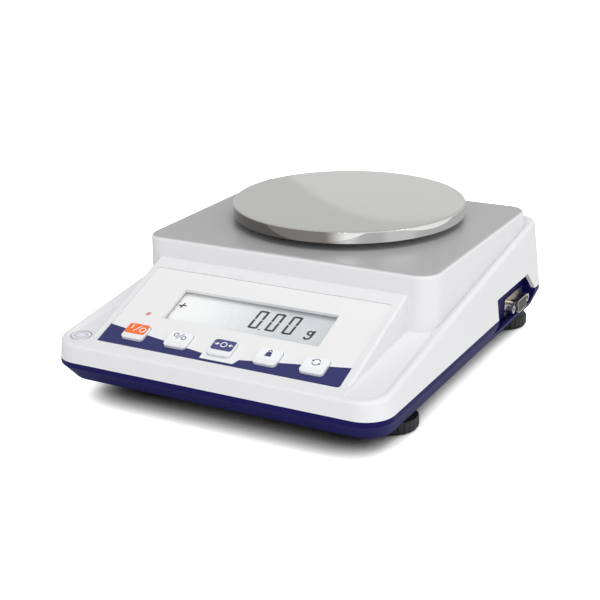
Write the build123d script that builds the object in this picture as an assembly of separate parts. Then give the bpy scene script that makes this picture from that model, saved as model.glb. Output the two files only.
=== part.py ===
from build123d import *
from math import cos, radians, sin, tan
import os

# Top-loading laboratory balance. Millimetres, +X right, +Y back, +Z up.
# The origin is on the bench, under the middle of the footprint.

# Footprint and levels of the two mouldings
body_width = 200.0
body_depth = 250.0
body_corner = 16.0
seam_z = 26.0
wall = 2.5
tray_bottom_z = 13.5
tray_band = 3.0
tray_side_inset = 4.0
tray_front_inset = 8.5
tray_rear_inset = 4.0
tray_bottom_corner = 14.0
tongue_height = 2.5
tongue_thickness = 1.2
tongue_clearance = 0.2

# Skirt of the white housing: a leaning wall, a raised rim and a sunk ledge
skirt_draft = 6.5
rim_front_z = 36.0
rim_front_inset = 3.0
rim_slope = 7.4
rim_round = 2.0
rim_land = 2.6
rim_inner_angle = 30.0
ledge_front_z = 36.0
ledge_front_inset = 10.0
ledge_slope = 5.7
well_depth = 14.0
well_floor_corner = 3.0

# Raised block that carries the pan
block_side_margin = 9.0
block_rear_margin = 14.2
block_corner = 11.0
block_top_z = 75.0
block_draft = 0.8
block_foot_rise = 3.0
block_round = 2.4
collar_inner_radius = 13.0
collar_thickness = 2.2
collar_height = 2.2

# Sloping panel wedge, with a printed film in its pocket
panel_x = -2.0
panel_slope = 20.5
film_front_inset = 11.5
film_low_z = 36.3
film_side_margin = 17.5
film_thickness = 0.5
film_corner = 1.6
film_clearance = 0.2
pocket_rim = 0.4
panel_floor = 2.5
panel_block_gap = 9.0
wedge_border = 5.0
wedge_side_round = 1.6
wedge_bury = 2.0
wedge_skirt_inset = 0.6

# Display
window_left_margin = 26.4
window_right_margin = 24.1
window_top_margin = 14.5
window_height = 26.0
window_corner = 0.8
window_recess = 1.5
window_thickness = 1.5
window_lap = 1.5
lcd_side_border = 2.75
lcd_end_border = 3.0
lcd_thickness = 2.8
lcd_gap = 0.2
lcd_play = 0.1
holder_wall = 1.2
holder_floor = 1.0
holder_height = 3.0
board_thickness = 1.6
display_board_side_margin = 0.5
display_board_end_margin = 5.6
display_board_shift = 1.0
display_screw_inset = 5.0
led_gap = 9.9
led_rise = 1.3
led_radius = 1.5
led_flange = 0.4
led_flange_height = 1.0
led_sunk = 0.1
led_hole_gap = 0.1

# Keys
key_names = ["power", "unit", "tare", "calibrate", "convert"]
key_end_margin = 18.9
key_front_margin = 5.65
key_window_gap = 9.15
key_width = 13.8
key_length = 11.9
key_corner = 2.2
key_round = 0.5
key_clearance = 0.3
key_proud = 1.6
key_flange = 0.8
key_flange_lap = 0.6
key_stop_gap = 0.05
key_travel = 0.5
key_end_gap = 0.3
switch_size = 6.0
plunger_radius = 1.7
plunger_fit = 0.1
plunger_sunk = 0.7

# Pan and what carries it
pan_rear_margin = 11.0
pan_radius = 70.0
pan_sheet = 1.2
pan_rim = 7.0
pan_gap = 4.3
pan_edge_round = 1.0
ring_thickness = 1.0
ring_depth = 3.6
ring_clearance = 0.4
support_radius = 52.0
support_thickness = 2.5
support_hub_radius = 11.0
support_hub_height = 2.0
support_window_radius = 13.0
support_window_orbit = 32.0
support_window_count = 4
support_screw_radius = 2.5
support_screw_head = 4.5
support_screw_seat = 1.6
support_screw_cap = 1.5
support_screw_length = 14.0
support_screw_end_gap = 0.9
support_slot_width = 1.0
support_slot_depth = 0.6
buffer_count = 4
buffer_radius = 5.0
buffer_orbit = 44.0
buffer_height = 2.6
post_radius = 8.0
bridge_width = 30.0
bridge_thickness = 5.0
bridge_foot = 3.65
bridge_reach = 12.0

# Load cell and its base plate
seat_height = 4.0
seat_radius = 5.5
plate_thickness = 4.0
plate_width = 44.0
plate_end_lap = 2.0
plate_corner = 4.0
spacer_thickness = 3.0
spacer_length = 28.0
cell_length = 120.0
cell_width = 30.0
cell_height = 22.0
cell_hole_radius = 8.0
cell_hole_spread = 13.0
cell_slot = 3.0
cell_bolt_radius = 3.0
cell_bolt_inset = 8.0
cell_bolt_pitch = 13.0
cell_bolt_head = 5.0
cell_bolt_sunk = 2.4
cell_bolt_head_height = 4.0
cell_fixed_grip = 15.0
cell_free_grip = 12.0
cell_gap = 0.35
gauge_length = 12.0
gauge_width = 16.0
gauge_thickness = 0.8
stop_radius = 2.0
stop_gap = 0.4
stop_x = 9.0
stop_y = 44.0
stop_nut_radius = 3.8
stop_nut_height = 2.0
plate_screw_side = 5.0
plate_screw_end = 6.0
plate_screw_grip = 3.5
plate_screw_recess = 3.5
thread_gap = 0.05

# Levelling feet
foot_side_inset = 18.0
foot_front_inset = 56.0
foot_rear_inset = 23.0
foot_radius = 13.0
foot_height = 7.0
foot_chamfer = 0.6
foot_lobes = 24
foot_lobe_radius = 1.1
pad_radius = 11.0
pad_height = 1.5
pad_spigot_radius = 4.0
pad_spigot_height = 2.0
pad_spigot_fit = 0.08
pad_spigot_end_gap = 0.1
stud_radius = 3.0
stud_root = 2.5
stud_top_z = 26.0
stud_fit = 0.05
insert_radius = 4.4
insert_height = 10.0
foot_boss_radius = 7.5

# Bubble level
level_side_inset = 12.0
level_front_inset = 14.3
level_radius = 6.0
level_height = 7.0
level_wall = 0.9
level_floor = 1.0
level_flange_height = 0.8
level_hole_gap = 0.15
level_window = 1.0
level_proud = 0.3
bubble_radius = 1.9
bubble_height = 0.9

# Serial port in the right-hand bay
bay_depth = 7.5
bay_rear_inset = 22.0
bay_length = 64.5
bay_top_slant = 11.0
bay_top_z = 38.2
bay_corner = 1.2
bay_wall_top_z = 35.0
bay_floor = 2.0
bay_sill_z = 17.0
port_rear_gap = 21.0
port_z = 22.3
port_flange_width = 30.8
port_flange_height = 12.5
port_flange_thickness = 1.0
port_flange_corner = 1.2
port_shell_width = 16.9
port_shell_height = 8.3
port_shell_depth = 5.9
port_shell_wall = 0.5
port_shell_angle = 10.0
port_back_width = 19.0
port_back_height = 10.4
port_back_depth = 8.0
port_back_gap = 0.2
port_insulator_sunk = 0.3
port_screw_spacing = 25.0
port_screw_radius = 1.5
port_screw_gap = 0.1
port_screw_shank = 6.0
port_hex_radius = 2.7
port_hex_length = 4.8
port_hole_radius = 1.25
port_hole_depth = 4.0
port_pin_pitch = 2.77
port_row_gap = 2.84
port_pin_radius = 0.5
port_pin_tail = 3.0
port_pin_reach = 2.5

# Power inlet in the rear wall
jack_x = -30.0
jack_z = 20.6
jack_width = 9.0
jack_height = 9.0
jack_depth = 12.0
jack_nose_radius = 3.9
jack_nose_depth = 4.5
jack_nose_gap = 0.2
jack_bore_radius = 2.85
jack_bore_depth = 9.5
jack_pin_radius = 1.0
jack_pin_sunk = 1.0
jack_face_inset = 1.6

# Main circuit board beside the load cell, its parts in rows from its front edge
board_wall_gap = 16.0
board_plate_gap = 12.0
board_lag = 27.0
main_board_length = 90.0
main_board_z = 24.0
main_board_round = 1.5
main_boss_radius = 3.2
board_corner = 4.0
board_hole_gap = 0.15
header_width = 16.0
header_length = 6.0
header_height = 8.5
header_wall = 1.0
header_floor = 2.0
header_rows = {"display": 6.0, "serial": 15.0, "cell": 24.0}
chip_size = 12.0
chip_height = 1.6
chip_row = 35.0
shield_width = 26.0
shield_length = 30.0
shield_height = 8.0
shield_wall = 0.5
shield_row = 58.0
buzzer_radius = 6.0
buzzer_height = 8.0
buzzer_port_radius = 1.0
buzzer_port_depth = 2.0
buzzer_row = 81.0

# Leads inside the housing
ribbon_start = 15.0
ribbon_width = 12.0
ribbon_thickness = 1.0
ribbon_bend = 3.0
ribbon_drop = 5.0
lead_rise = 14.0
cell_lead_radius = 1.5
cell_lead_bend = 4.0
cell_lead_inset = 8.0
cell_lead_height = 10.0
cell_lead_reach = 12.0
port_lead_radius = 1.9
port_lead_bend = 6.0
port_lead_run = 18.0
port_lead_lag = 22.0
port_lead_side = 16.0
port_lead_height = 3.0
port_lead_inset = 8.0
port_lead_front = 9.0
port_lead_turn = 8.0

# Fasteners
screw_post_radius = 4.2
front_post_side_inset = 11.0
front_post_inset = 33.0
rear_post_side_inset = 38.0
rear_post_inset = 17.0
post_split_rise = 4.0
m3_radius = 1.5
m3_pilot_radius = 1.3
m3_head_radius = 2.8
m3_head_height = 2.4
m3_length = 10.0
m3_recess_drop = 1.0
m4_radius = 2.0
m4_head_radius = 3.7
m4_head_height = 2.6
m25_radius = 1.25
m25_head_radius = 2.3
m25_head_height = 1.8
m25_length = 6.0
boss_wall = 2.0
head_gap = 0.4
through_gap = 0.2
support_through_gap = 0.1
grip_gap = 0.02

# How far a boss reaches into its wall, and how far a cut runs past a face
ROOT = 0.5
PAST = 1.0
REACH = 400.0
UP = (Align.CENTER, Align.CENTER, Align.MIN)
DOWN = (Align.CENTER, Align.CENTER, Align.MAX)
FORWARD = (Align.CENTER, Align.MAX, Align.CENTER)

# Sizes and places worked out from the ones above
half_width = body_width / 2
half_depth = body_depth / 2
floor_z = tray_bottom_z + wall
lean = tan(radians(skirt_draft))
rim_front_y = rim_front_inset - half_depth
ledge_front_y = ledge_front_inset - half_depth
ledge_rise = tan(radians(ledge_slope))
rim_rise = tan(radians(rim_slope))
skirt_height = rim_front_z + rim_rise * (half_depth - rim_front_y) - seam_z + rim_round + PAST
block_width = body_width - 2 * block_side_margin
film_width = block_width - 2 * film_side_margin
film_length = window_top_margin + window_height + key_window_gap + key_length + key_front_margin
film_low_y = film_front_inset - half_depth
panel_up = (0.0, cos(radians(panel_slope)), sin(radians(panel_slope)))
panel_out = (0.0, -sin(radians(panel_slope)), cos(radians(panel_slope)))
panel_y = film_low_y + panel_up[1] * film_length / 2
panel_z = film_low_z + panel_up[2] * film_length / 2
panel = Plane(origin=(panel_x, panel_y, panel_z), x_dir=(1, 0, 0), z_dir=panel_out)
block_front_y = film_low_y + panel_up[1] * film_length + panel_block_gap
block_rear_y = half_depth - block_rear_margin
block_depth = block_rear_y - block_front_y
block_y = (block_rear_y + block_front_y) / 2
wedge_left = panel_x - film_width / 2 - wedge_border
wedge_right = panel_x + film_width / 2 + wedge_border
window_width = film_width - window_left_margin - window_right_margin
window_x = (window_left_margin - window_right_margin) / 2
window_y = film_length / 2 - window_top_margin - window_height / 2
lcd_width = window_width + 2 * lcd_side_border
lcd_height = window_height + 2 * lcd_end_border
display_board_width = film_width - 2 * display_board_side_margin
display_board_length = film_length - 2 * display_board_end_margin
led_x = window_x - window_width / 2 - led_gap
led_y = window_y - window_height / 2 + led_rise
key_y = key_front_margin + key_length / 2 - film_length / 2
key_pitch = (film_width - 2 * key_end_margin) / (len(key_names) - 1)
key_xs = [key_end_margin - film_width / 2 + i * key_pitch for i in range(len(key_names))]
panel_underside = -film_thickness - panel_floor
window_top = -film_thickness - window_recess
lcd_top = window_top - window_thickness - lcd_gap
display_board_top = lcd_top - lcd_thickness - holder_floor
key_bottom = panel_underside - key_stop_gap - key_flange
switch_top = key_bottom - plunger_sunk
pan_y = half_depth - pan_rear_margin - pan_radius
pan_bottom_z = block_top_z + pan_gap
pan_top_z = pan_bottom_z + pan_rim
support_top_z = pan_top_z - pan_sheet - buffer_height
support_screw_z = support_top_z - support_screw_seat
plate_z = floor_z + seat_height
plate_length = cell_length + 2 * plate_end_lap
plate_recess_z = tray_bottom_z + plate_screw_recess
plate_screw_x = plate_width / 2 - plate_screw_side
plate_screw_y = plate_length / 2 - plate_screw_end
cell_z = plate_z + plate_thickness + spacer_thickness
cell_top_z = cell_z + cell_height
cell_bolt_outer = cell_length / 2 - cell_bolt_inset
cell_bolt_inner = cell_bolt_outer - cell_bolt_pitch
bridge_z = cell_top_z + cell_gap + bridge_foot
level_x = level_side_inset - half_width
level_y = level_front_inset - half_depth
level_top_z = ledge_front_z + ledge_rise * (level_y - ledge_front_y) + level_proud
bay_wall_x = half_width - bay_depth
bay_rear_y = half_depth - bay_rear_inset
bay_front_y = bay_rear_y - bay_length
port_y = bay_rear_y - port_rear_gap
port_plane = Plane(origin=(bay_wall_x, port_y, port_z), x_dir=(0, 1, 0), z_dir=(1, 0, 0))
jack_front_y = half_depth - jack_face_inset
jack_plane = Plane(origin=(jack_x, jack_front_y, jack_z), x_dir=(-1, 0, 0), z_dir=(0, 1, 0))
foot_x = half_width - foot_side_inset
foot_front_y = foot_front_inset - half_depth
foot_rear_y = half_depth - foot_rear_inset
feet = {
    "front_left": (-foot_x, foot_front_y),
    "front_right": (foot_x, foot_front_y),
    "rear_left": (-foot_x, foot_rear_y),
    "rear_right": (foot_x, foot_rear_y),
}
post_split_z = seam_z + post_split_rise
m3_recess_z = seam_z - m3_recess_drop
screw_posts = [
    (side * x, y)
    for x, y in (
        (half_width - front_post_side_inset, front_post_inset - half_depth),
        (half_width - rear_post_side_inset, half_depth - rear_post_inset),
    )
    for side in (-1, 1)
]
plate_screws = [
    (sx * plate_screw_x, pan_y + sy * plate_screw_y) for sx in (-1, 1) for sy in (-1, 1)
]
main_board_width = half_width - board_wall_gap - plate_width / 2 - board_plate_gap
main_board_x = board_wall_gap + main_board_width / 2 - half_width
main_board_y = pan_y - board_lag
board_top_z = main_board_z + board_thickness
main_screws = [
    (
        main_board_x + sx * (main_board_width / 2 - board_corner),
        main_board_y + sy * (main_board_length / 2 - board_corner),
    )
    for sx in (-1, 1)
    for sy in (-1, 1)
]
display_screws = [
    (
        sx * (display_board_width / 2 - display_screw_inset),
        sy * (display_board_length / 2 - display_screw_inset),
    )
    for sx in (-1, 1)
    for sy in (-1, 1)
]


def save(shape, node):
    """Write one sub-part to its own file."""
    export_step(shape, f"parts/{node}.step")


def group(solids):
    """Keep separate solids of one node together."""
    return Compound(children=list(solids))


def slab(width, depth, height, corner, x=0.0, y=0.0, z=0.0):
    """A plate with rounded corners, standing on z."""
    return Pos(x, y, z) * extrude(RectangleRounded(width, depth, corner), height)


def rod(radius, z_low, z_high, x=0.0, y=0.0):
    """An upright cylinder between two heights."""
    return Pos(x, y, z_low) * Cylinder(radius, z_high - z_low, align=UP)


def above(rise_deg, y, z):
    """Everything above a plane that passes through (y, z) and climbs towards the back."""
    return Pos(0, y, z) * Rot(X=rise_deg) * Box(2 * REACH, 2 * REACH, REACH, align=UP)


def ring_outline(inset, z, y_shift=0.0, width=body_width, depth=body_depth, corner=body_corner):
    """A rounded outline of the body, moved inwards by an inset."""
    radius = max(corner - inset, 1.0)
    return Pos(0, y_shift, z) * RectangleRounded(width - 2 * inset, depth - 2 * inset, radius)


# Housing


def skirt(inset):
    """The leaning skirt as a solid, from the seam up."""
    top = inset + skirt_height * lean
    return loft([ring_outline(inset, seam_z), ring_outline(top, seam_z + skirt_height)], ruled=True)


def rim_half_width(y):
    """Half the width of the skirt where its wall meets the rim plane."""
    z = rim_front_z + rim_rise * (y - rim_front_y)
    return half_width - (z - seam_z) * lean


def well():
    """The sunk ledge inside the rim: sloping flanks down to a flat floor."""
    shrink = well_depth / tan(radians(rim_inner_angle))
    y_low = -half_depth + (rim_front_z - seam_z) * lean + rim_land
    y_high = half_depth - (rim_front_z + rim_rise * (half_depth - rim_front_y) - seam_z) * lean - rim_land
    run = 1 / cos(radians(rim_slope))

    def outline(inset, corner):
        low = y_low + inset
        high = y_high - inset
        a = rim_half_width(y_low) - rim_land - inset
        b = rim_half_width(y_high) - rim_land - inset
        pts = [(-a, (low - rim_front_y) * run), (a, (low - rim_front_y) * run)]
        pts += [(b, (high - rim_front_y) * run), (-b, (high - rim_front_y) * run)]
        return fillet(make_face(Polyline(*pts, close=True)).vertices(), corner)

    tilt = Pos(0, rim_front_y, rim_front_z) * Rot(X=rim_slope)
    corner = body_corner - rim_land
    floor = Pos(0, 0, -well_depth) * outline(shrink, well_floor_corner)
    inner = loft([outline(0.0, corner), floor], ruled=True)
    cap = extrude(outline(0.0, corner), well_depth)
    cut = (tilt * (inner + cap)) & above(ledge_slope, ledge_front_y, ledge_front_z)
    keep = Pos((wedge_left + wedge_right) / 2, block_front_y + PAST, 0)
    return cut - keep * Box(wedge_right - wedge_left, REACH, REACH, align=FORWARD)


def block(inset=0.0):
    """The raised block, with a slight draft and a rounded top edge."""
    base_z = seam_z + block_foot_rise
    top_z = block_top_z - inset
    spread = 2 * (top_z - base_z) * tan(radians(block_draft))
    corner = block_corner - inset
    low = RectangleRounded(block_width - 2 * inset + spread, block_depth - 2 * inset + spread, corner)
    high = RectangleRounded(block_width - 2 * inset, block_depth - 2 * inset, corner)
    body = loft([Pos(0, block_y, base_z) * low, Pos(0, block_y, top_z) * high], ruled=True)
    if inset:
        return body
    return fillet(body.edges().group_by(Axis.Z)[-1], block_round)


def wedge(inset, top):
    """The panel wedge below a plane parallel to the film, as wide as the border."""
    width = wedge_right - wedge_left - 2 * inset
    back = block_front_y + wall + wedge_bury
    box = Pos((wedge_left + wedge_right) / 2, back, seam_z) * Box(
        width, back + half_depth - inset - wall, REACH / 4, align=(Align.CENTER, Align.MAX, Align.MIN)
    )
    cut = panel * Pos(0, 0, top) * Box(REACH, REACH, REACH, align=UP)
    body = box - cut
    if inset:
        return body
    tops = body.faces().sort_by(Axis.Z)[-1].edges().filter_by(lambda e: abs(e.tangent_at(0.5).Y) > 0.5)
    return fillet(tops, wedge_side_round)


def housing_outer():
    """Outside of the white housing, without holes."""
    body = skirt(0.0) - above(rim_slope, rim_front_y, rim_front_z)
    rim = body.faces().sort_by(Axis.Z)[-1].edges()
    body = fillet(rim, rim_round) - well()
    return body + block() + (wedge(0.0, pocket_rim) & skirt(wedge_skirt_inset))


def housing_cavity():
    """The inside of the white housing."""
    low = skirt(wall) - above(ledge_slope, ledge_front_y, ledge_front_z - wall / cos(radians(ledge_slope)))
    return low + block(wall) + (wedge(wall, panel_underside) & skirt(wall))


def bay_cut():
    """The side opening in the white wall over the serial port."""
    outline = Polyline(
        (bay_front_y, seam_z - PAST),
        (bay_front_y, bay_top_z),
        (bay_rear_y - bay_top_slant, bay_top_z),
        (bay_rear_y, seam_z),
        (bay_rear_y, seam_z - PAST),
        close=True,
    )
    side = Plane(origin=(bay_wall_x + PAST, 0, 0), x_dir=(0, 1, 0), z_dir=(1, 0, 0))
    face = side * make_face(outline)
    corners = face.vertices().filter_by(lambda v: v.Z > seam_z + PAST)
    return extrude(fillet(corners, bay_corner), half_width)


def upper_housing():
    """White housing: skirt, rim, ledge, block and panel wedge in one moulding."""
    outer = housing_outer()
    body = outer - housing_cavity()
    for x, y in screw_posts:
        post = rod(screw_post_radius, post_split_z, block_top_z, x, y)
        body += post & outer
        body -= rod(m3_pilot_radius, post_split_z - PAST, m3_recess_z + m3_length + PAST, x, y)
    for x, y in display_screws:
        boss = panel * Pos(x, y, display_board_top) * Cylinder(
            m25_radius + boss_wall, panel_underside - display_board_top + ROOT, align=UP
        )
        body += boss
        body -= panel * Pos(x, y, display_board_top - ROOT) * Cylinder(
            m25_radius, m25_length - board_thickness + ROOT, align=UP
        )
    body -= panel * Pos(0, 0, -film_thickness) * extrude(
        RectangleRounded(film_width + 2 * film_clearance, film_length + 2 * film_clearance, film_corner),
        film_thickness + pocket_rim + PAST,
    )
    body -= panel * Pos(window_x, window_y, panel_underside - PAST) * extrude(
        RectangleRounded(window_width, window_height, window_corner), panel_floor + 2 * PAST
    )
    seat = 2 * (window_lap + film_clearance)
    body -= panel * Pos(window_x, window_y, window_top - 2 * panel_floor) * extrude(
        RectangleRounded(window_width + seat, window_height + seat, window_corner), 2 * panel_floor
    )
    body -= panel * Pos(led_x, led_y, panel_underside - PAST) * Cylinder(
        led_radius + led_flange, panel_floor + 2 * PAST, align=UP
    )
    for x in key_xs:
        body -= panel * Pos(x, key_y, panel_underside - PAST) * extrude(
            RectangleRounded(
                key_width + 2 * key_clearance, key_length + 2 * key_clearance, key_corner + key_clearance
            ),
            panel_floor + 2 * PAST,
        )
    body += rod(
        collar_inner_radius + collar_thickness, block_top_z - wall, block_top_z + collar_height, y=pan_y
    )
    body -= rod(collar_inner_radius, block_top_z - 2 * wall, block_top_z + 2 * collar_height, y=pan_y)
    well_z = level_top_z - level_flange_height
    body -= rod(level_radius + level_hole_gap, well_z, level_top_z + PAST, level_x, level_y)
    body -= rod(level_radius - level_wall + level_hole_gap, seam_z, well_z, level_x, level_y)
    return body - bay_cut()


# Base tray


def tray_solid(inset, bottom_z):
    """The tray's outer form, moved inwards by an inset, from bottom_z up to the seam."""
    band_z = seam_z - tray_band
    low = RectangleRounded(
        body_width - 2 * tray_side_inset - 2 * inset,
        body_depth - tray_front_inset - tray_rear_inset - 2 * inset,
        tray_bottom_corner - inset,
    )
    shift = (tray_front_inset - tray_rear_inset) / 2
    taper = loft([Pos(0, shift, bottom_z) * low, ring_outline(inset, band_z)], ruled=True)
    return taper + extrude(ring_outline(inset, band_z), tray_band)


def base_tray():
    """Blue base: tapered tray, foot bosses, screw posts, seats and the serial port bay."""
    body = tray_solid(0.0, tray_bottom_z) - tray_solid(wall, floor_z)
    tongue_inset = wall + tongue_clearance + tongue_height * lean
    ring = ring_outline(wall / 2, seam_z - tray_band) - ring_outline(
        tongue_inset + tongue_thickness, seam_z - tray_band
    )
    body += extrude(ring, tray_band)
    tongue = ring_outline(tongue_inset, seam_z) - ring_outline(tongue_inset + tongue_thickness, seam_z)
    body += extrude(tongue, tongue_height)
    posts = [rod(screw_post_radius, floor_z - ROOT, post_split_z, x, y) for x, y in screw_posts]
    boss_top = tray_bottom_z + insert_height
    posts += [rod(foot_boss_radius, floor_z - ROOT, boss_top, x, y) for x, y in feet.values()]
    posts += [rod(seat_radius, floor_z - ROOT, plate_z, x, y) for x, y in plate_screws]
    posts += [rod(main_boss_radius, floor_z - ROOT, main_board_z, x, y) for x, y in main_screws]
    for post in posts:
        body += post
    body = add_bay(body)
    for x, y in screw_posts:
        body -= rod(m3_head_radius + head_gap, tray_bottom_z - PAST, m3_recess_z, x, y)
        body -= rod(m3_radius + through_gap, m3_recess_z - PAST, post_split_z + PAST, x, y)
    for x, y in feet.values():
        body -= rod(insert_radius, tray_bottom_z - PAST, boss_top + PAST, x, y)
    for x, y in plate_screws:
        body -= rod(m4_head_radius + head_gap, tray_bottom_z - PAST, plate_recess_z, x, y)
        body -= rod(m4_radius + through_gap, plate_recess_z - PAST, plate_z + PAST, x, y)
    for x, y in main_screws:
        body -= rod(m25_radius, board_top_z - m25_length - ROOT, main_board_z + PAST, x, y)
    jack_bore = Pos(jack_x, half_depth, jack_z) * Rot(X=90) * Cylinder(
        jack_nose_radius + jack_nose_gap, 2 * jack_depth
    )
    jack_room = Pos(jack_x, jack_front_y - jack_nose_depth, jack_z) * Box(
        jack_width + 2 * jack_nose_gap, jack_depth, jack_height + 2 * jack_nose_gap, align=FORWARD
    )
    return body - jack_bore - (jack_room & rod(REACH, floor_z, seam_z + tongue_height + PAST))


def add_bay(body):
    """Set the side wall back behind the serial port and close the bay's ends."""
    middle_y = (bay_front_y + bay_rear_y) / 2
    corner = (Align.MAX, Align.CENTER, Align.MIN)
    outer = Pos(half_width + PAST, middle_y, 0)
    shell = outer * Pos(0, 0, tray_bottom_z) * Box(
        bay_depth + PAST + wall, bay_length + 2 * wall, bay_wall_top_z - tray_bottom_z, align=corner
    )
    end_inset = tongue_clearance + wall + (bay_wall_top_z - seam_z) * lean
    end_limit = extrude(ring_outline(end_inset, tray_bottom_z), REACH)
    low_limit = tray_solid(0.0, tray_bottom_z)
    body += shell & (low_limit + end_limit)
    room = outer * Pos(0, 0, tray_bottom_z + bay_floor) * Box(
        bay_depth + PAST, bay_length, bay_wall_top_z, align=corner
    )
    sill = tray_solid(0.0, tray_bottom_z) - tray_solid(wall, tray_bottom_z)
    sill = sill & (outer * Box(bay_depth + PAST, bay_length + 2 * wall, bay_sill_z, align=corner))
    body = body - room + sill
    body -= port_plane * Box(
        port_back_width + 2 * port_back_gap, port_back_height + 2 * port_back_gap, 2 * wall + 2 * PAST
    )
    for side in (-1, 1):
        y = port_y + side * port_screw_spacing / 2
        body -= Pos(bay_wall_x, y, port_z) * Rot(Y=90) * Cylinder(port_screw_radius + port_screw_gap, 3 * wall)
    return body


# Pan and weighing train


def weighing_pan():
    """Steel pan: flat sheet, turned-down rim and a locating ring underneath."""
    top = rod(pan_radius, pan_bottom_z, pan_top_z)
    top = fillet(top.edges().group_by(Axis.Z)[-1], pan_edge_round)
    top -= rod(pan_radius - pan_sheet, pan_bottom_z - PAST, pan_top_z - pan_sheet)
    ring_inner = support_radius + ring_clearance
    ring = rod(ring_inner + ring_thickness, pan_top_z - pan_sheet - ring_depth, pan_top_z - pan_sheet)
    ring -= rod(ring_inner, pan_bottom_z - PAST, pan_top_z - pan_sheet)
    return Pos(0, pan_y, 0) * (top + ring)


def pan_support():
    """Round plate under the pan, with four windows and a hub on the post."""
    low = support_top_z - support_thickness
    body = rod(support_radius, low, support_top_z) + rod(support_hub_radius, low - support_hub_height, low)
    for i in range(support_window_count):
        turn = Rot(Z=360 / support_window_count * i)
        body -= turn * rod(support_window_radius, low - PAST, support_top_z + PAST, support_window_orbit)
    hub_low = low - support_hub_height
    body -= rod(support_screw_radius + support_through_gap, hub_low - PAST, support_top_z + PAST)
    body -= rod(support_screw_head + head_gap, support_screw_z, support_top_z + PAST)
    return Pos(0, pan_y, 0) * body


def pan_buffers():
    """Rubber buttons between the support and the pan."""
    turn = 360 / buffer_count
    return group(
        Pos(0, pan_y, 0)
        * Rot(Z=turn * (i + 0.5))
        * rod(buffer_radius, support_top_z, support_top_z + buffer_height, buffer_orbit)
        for i in range(buffer_count)
    )


def support_screw():
    """Flat-headed screw that holds the pan support on its post."""
    cap_z = support_screw_z + support_screw_cap
    body = rod(support_screw_head, support_screw_z, cap_z)
    body += rod(support_screw_radius, support_screw_z - support_screw_length, support_screw_z)
    slot = Box(2 * support_screw_head, support_slot_width, 2 * support_slot_depth)
    return Pos(0, pan_y, 0) * (body - Pos(0, 0, cap_z) * slot)


def carrier_bridge():
    """Bracket from the free end of the load cell to the post under the pan."""
    rear = pan_y + cell_length / 2
    length = cell_length / 2 + bridge_reach
    up_back = (Align.CENTER, Align.MAX, Align.MIN)
    plate = Pos(0, rear, bridge_z) * Box(bridge_width, length, bridge_thickness, align=up_back)
    foot = Pos(0, rear, cell_top_z + cell_gap) * Box(bridge_width, spacer_length, bridge_foot, align=up_back)
    top = support_top_z - support_thickness - support_hub_height
    body = plate + foot + rod(post_radius, bridge_z, top, y=pan_y)
    tip_z = support_screw_z - support_screw_length
    body -= rod(support_screw_radius + thread_gap, tip_z - support_screw_end_gap, top + PAST, y=pan_y)
    for y in (cell_bolt_inner, cell_bolt_outer):
        body -= rod(cell_bolt_radius + through_gap, cell_top_z, bridge_z + 2 * bridge_thickness, y=pan_y + y)
    return body


def load_cell():
    """Aluminium beam with a double hole, tapped at both ends."""
    body = Pos(0, pan_y, cell_z) * Box(cell_width, cell_length, cell_height, align=UP)
    middle = cell_z + cell_height / 2
    for side in (-1, 1):
        hole = Rot(Y=90) * Cylinder(cell_hole_radius, 2 * cell_width)
        body -= Pos(0, pan_y + side * cell_hole_spread, middle) * hole
    body -= Pos(0, pan_y, middle) * Box(2 * cell_width, 2 * cell_hole_spread, cell_slot)
    for y in (-cell_bolt_outer, -cell_bolt_inner, cell_bolt_inner, cell_bolt_outer):
        body -= rod(cell_bolt_radius + thread_gap, cell_z - PAST, cell_top_z + PAST, y=pan_y + y)
    return body


def strain_gauges():
    """Potted gauges over the thin webs of the beam."""
    size = (gauge_width, gauge_length, gauge_thickness)
    return group(
        Pos(0, pan_y + side * cell_hole_spread, z) * Box(*size, align=align)
        for side in (-1, 1)
        for z, align in ((cell_top_z, UP), (cell_z, DOWN))
    )


def cell_fixed_spacer():
    """Plate that holds the fixed end of the beam off the base plate."""
    front = pan_y - cell_length / 2
    body = Pos(0, front, cell_z) * Box(
        cell_width, spacer_length, spacer_thickness, align=(Align.CENTER, Align.MIN, Align.MAX)
    )
    for y in (cell_bolt_inner, cell_bolt_outer):
        body -= rod(cell_bolt_radius + through_gap, cell_z - 2 * spacer_thickness, cell_z + PAST, y=pan_y - y)
    return body


def cell_base_plate():
    """Steel plate that carries the load cell on the tray."""
    body = slab(plate_width, plate_length, plate_thickness, plate_corner, y=pan_y, z=plate_z)
    low = plate_z - PAST
    high = plate_z + 2 * plate_thickness
    for x, y in plate_screws:
        body -= rod(m4_radius + thread_gap, low, high, x, y)
    for y in (cell_bolt_inner, cell_bolt_outer):
        body -= rod(cell_bolt_radius + through_gap, low, high, y=pan_y - y)
        body -= rod(cell_bolt_head + head_gap, low, plate_z + cell_bolt_sunk, y=pan_y - y)
    for side in (-1, 1):
        body -= rod(stop_radius + thread_gap, low, high, side * stop_x, pan_y + stop_y)
    return body


def cell_fixed_screws():
    """Screws from under the plate into the fixed end of the beam."""
    top = plate_z + cell_bolt_sunk
    low = top - cell_bolt_head_height
    tip = cell_z + cell_fixed_grip
    return group(
        rod(cell_bolt_head, low, top, y=pan_y - y) + rod(cell_bolt_radius, top, tip, y=pan_y - y)
        for y in (cell_bolt_inner, cell_bolt_outer)
    )


def cell_free_screws():
    """Screws that hold the bridge on the free end of the beam."""
    seat = bridge_z + bridge_thickness
    return group(
        rod(cell_bolt_head, seat, seat + cell_bolt_head_height, y=pan_y + y)
        + rod(cell_bolt_radius, cell_top_z - cell_free_grip, seat, y=pan_y + y)
        for y in (cell_bolt_inner, cell_bolt_outer)
    )


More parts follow.
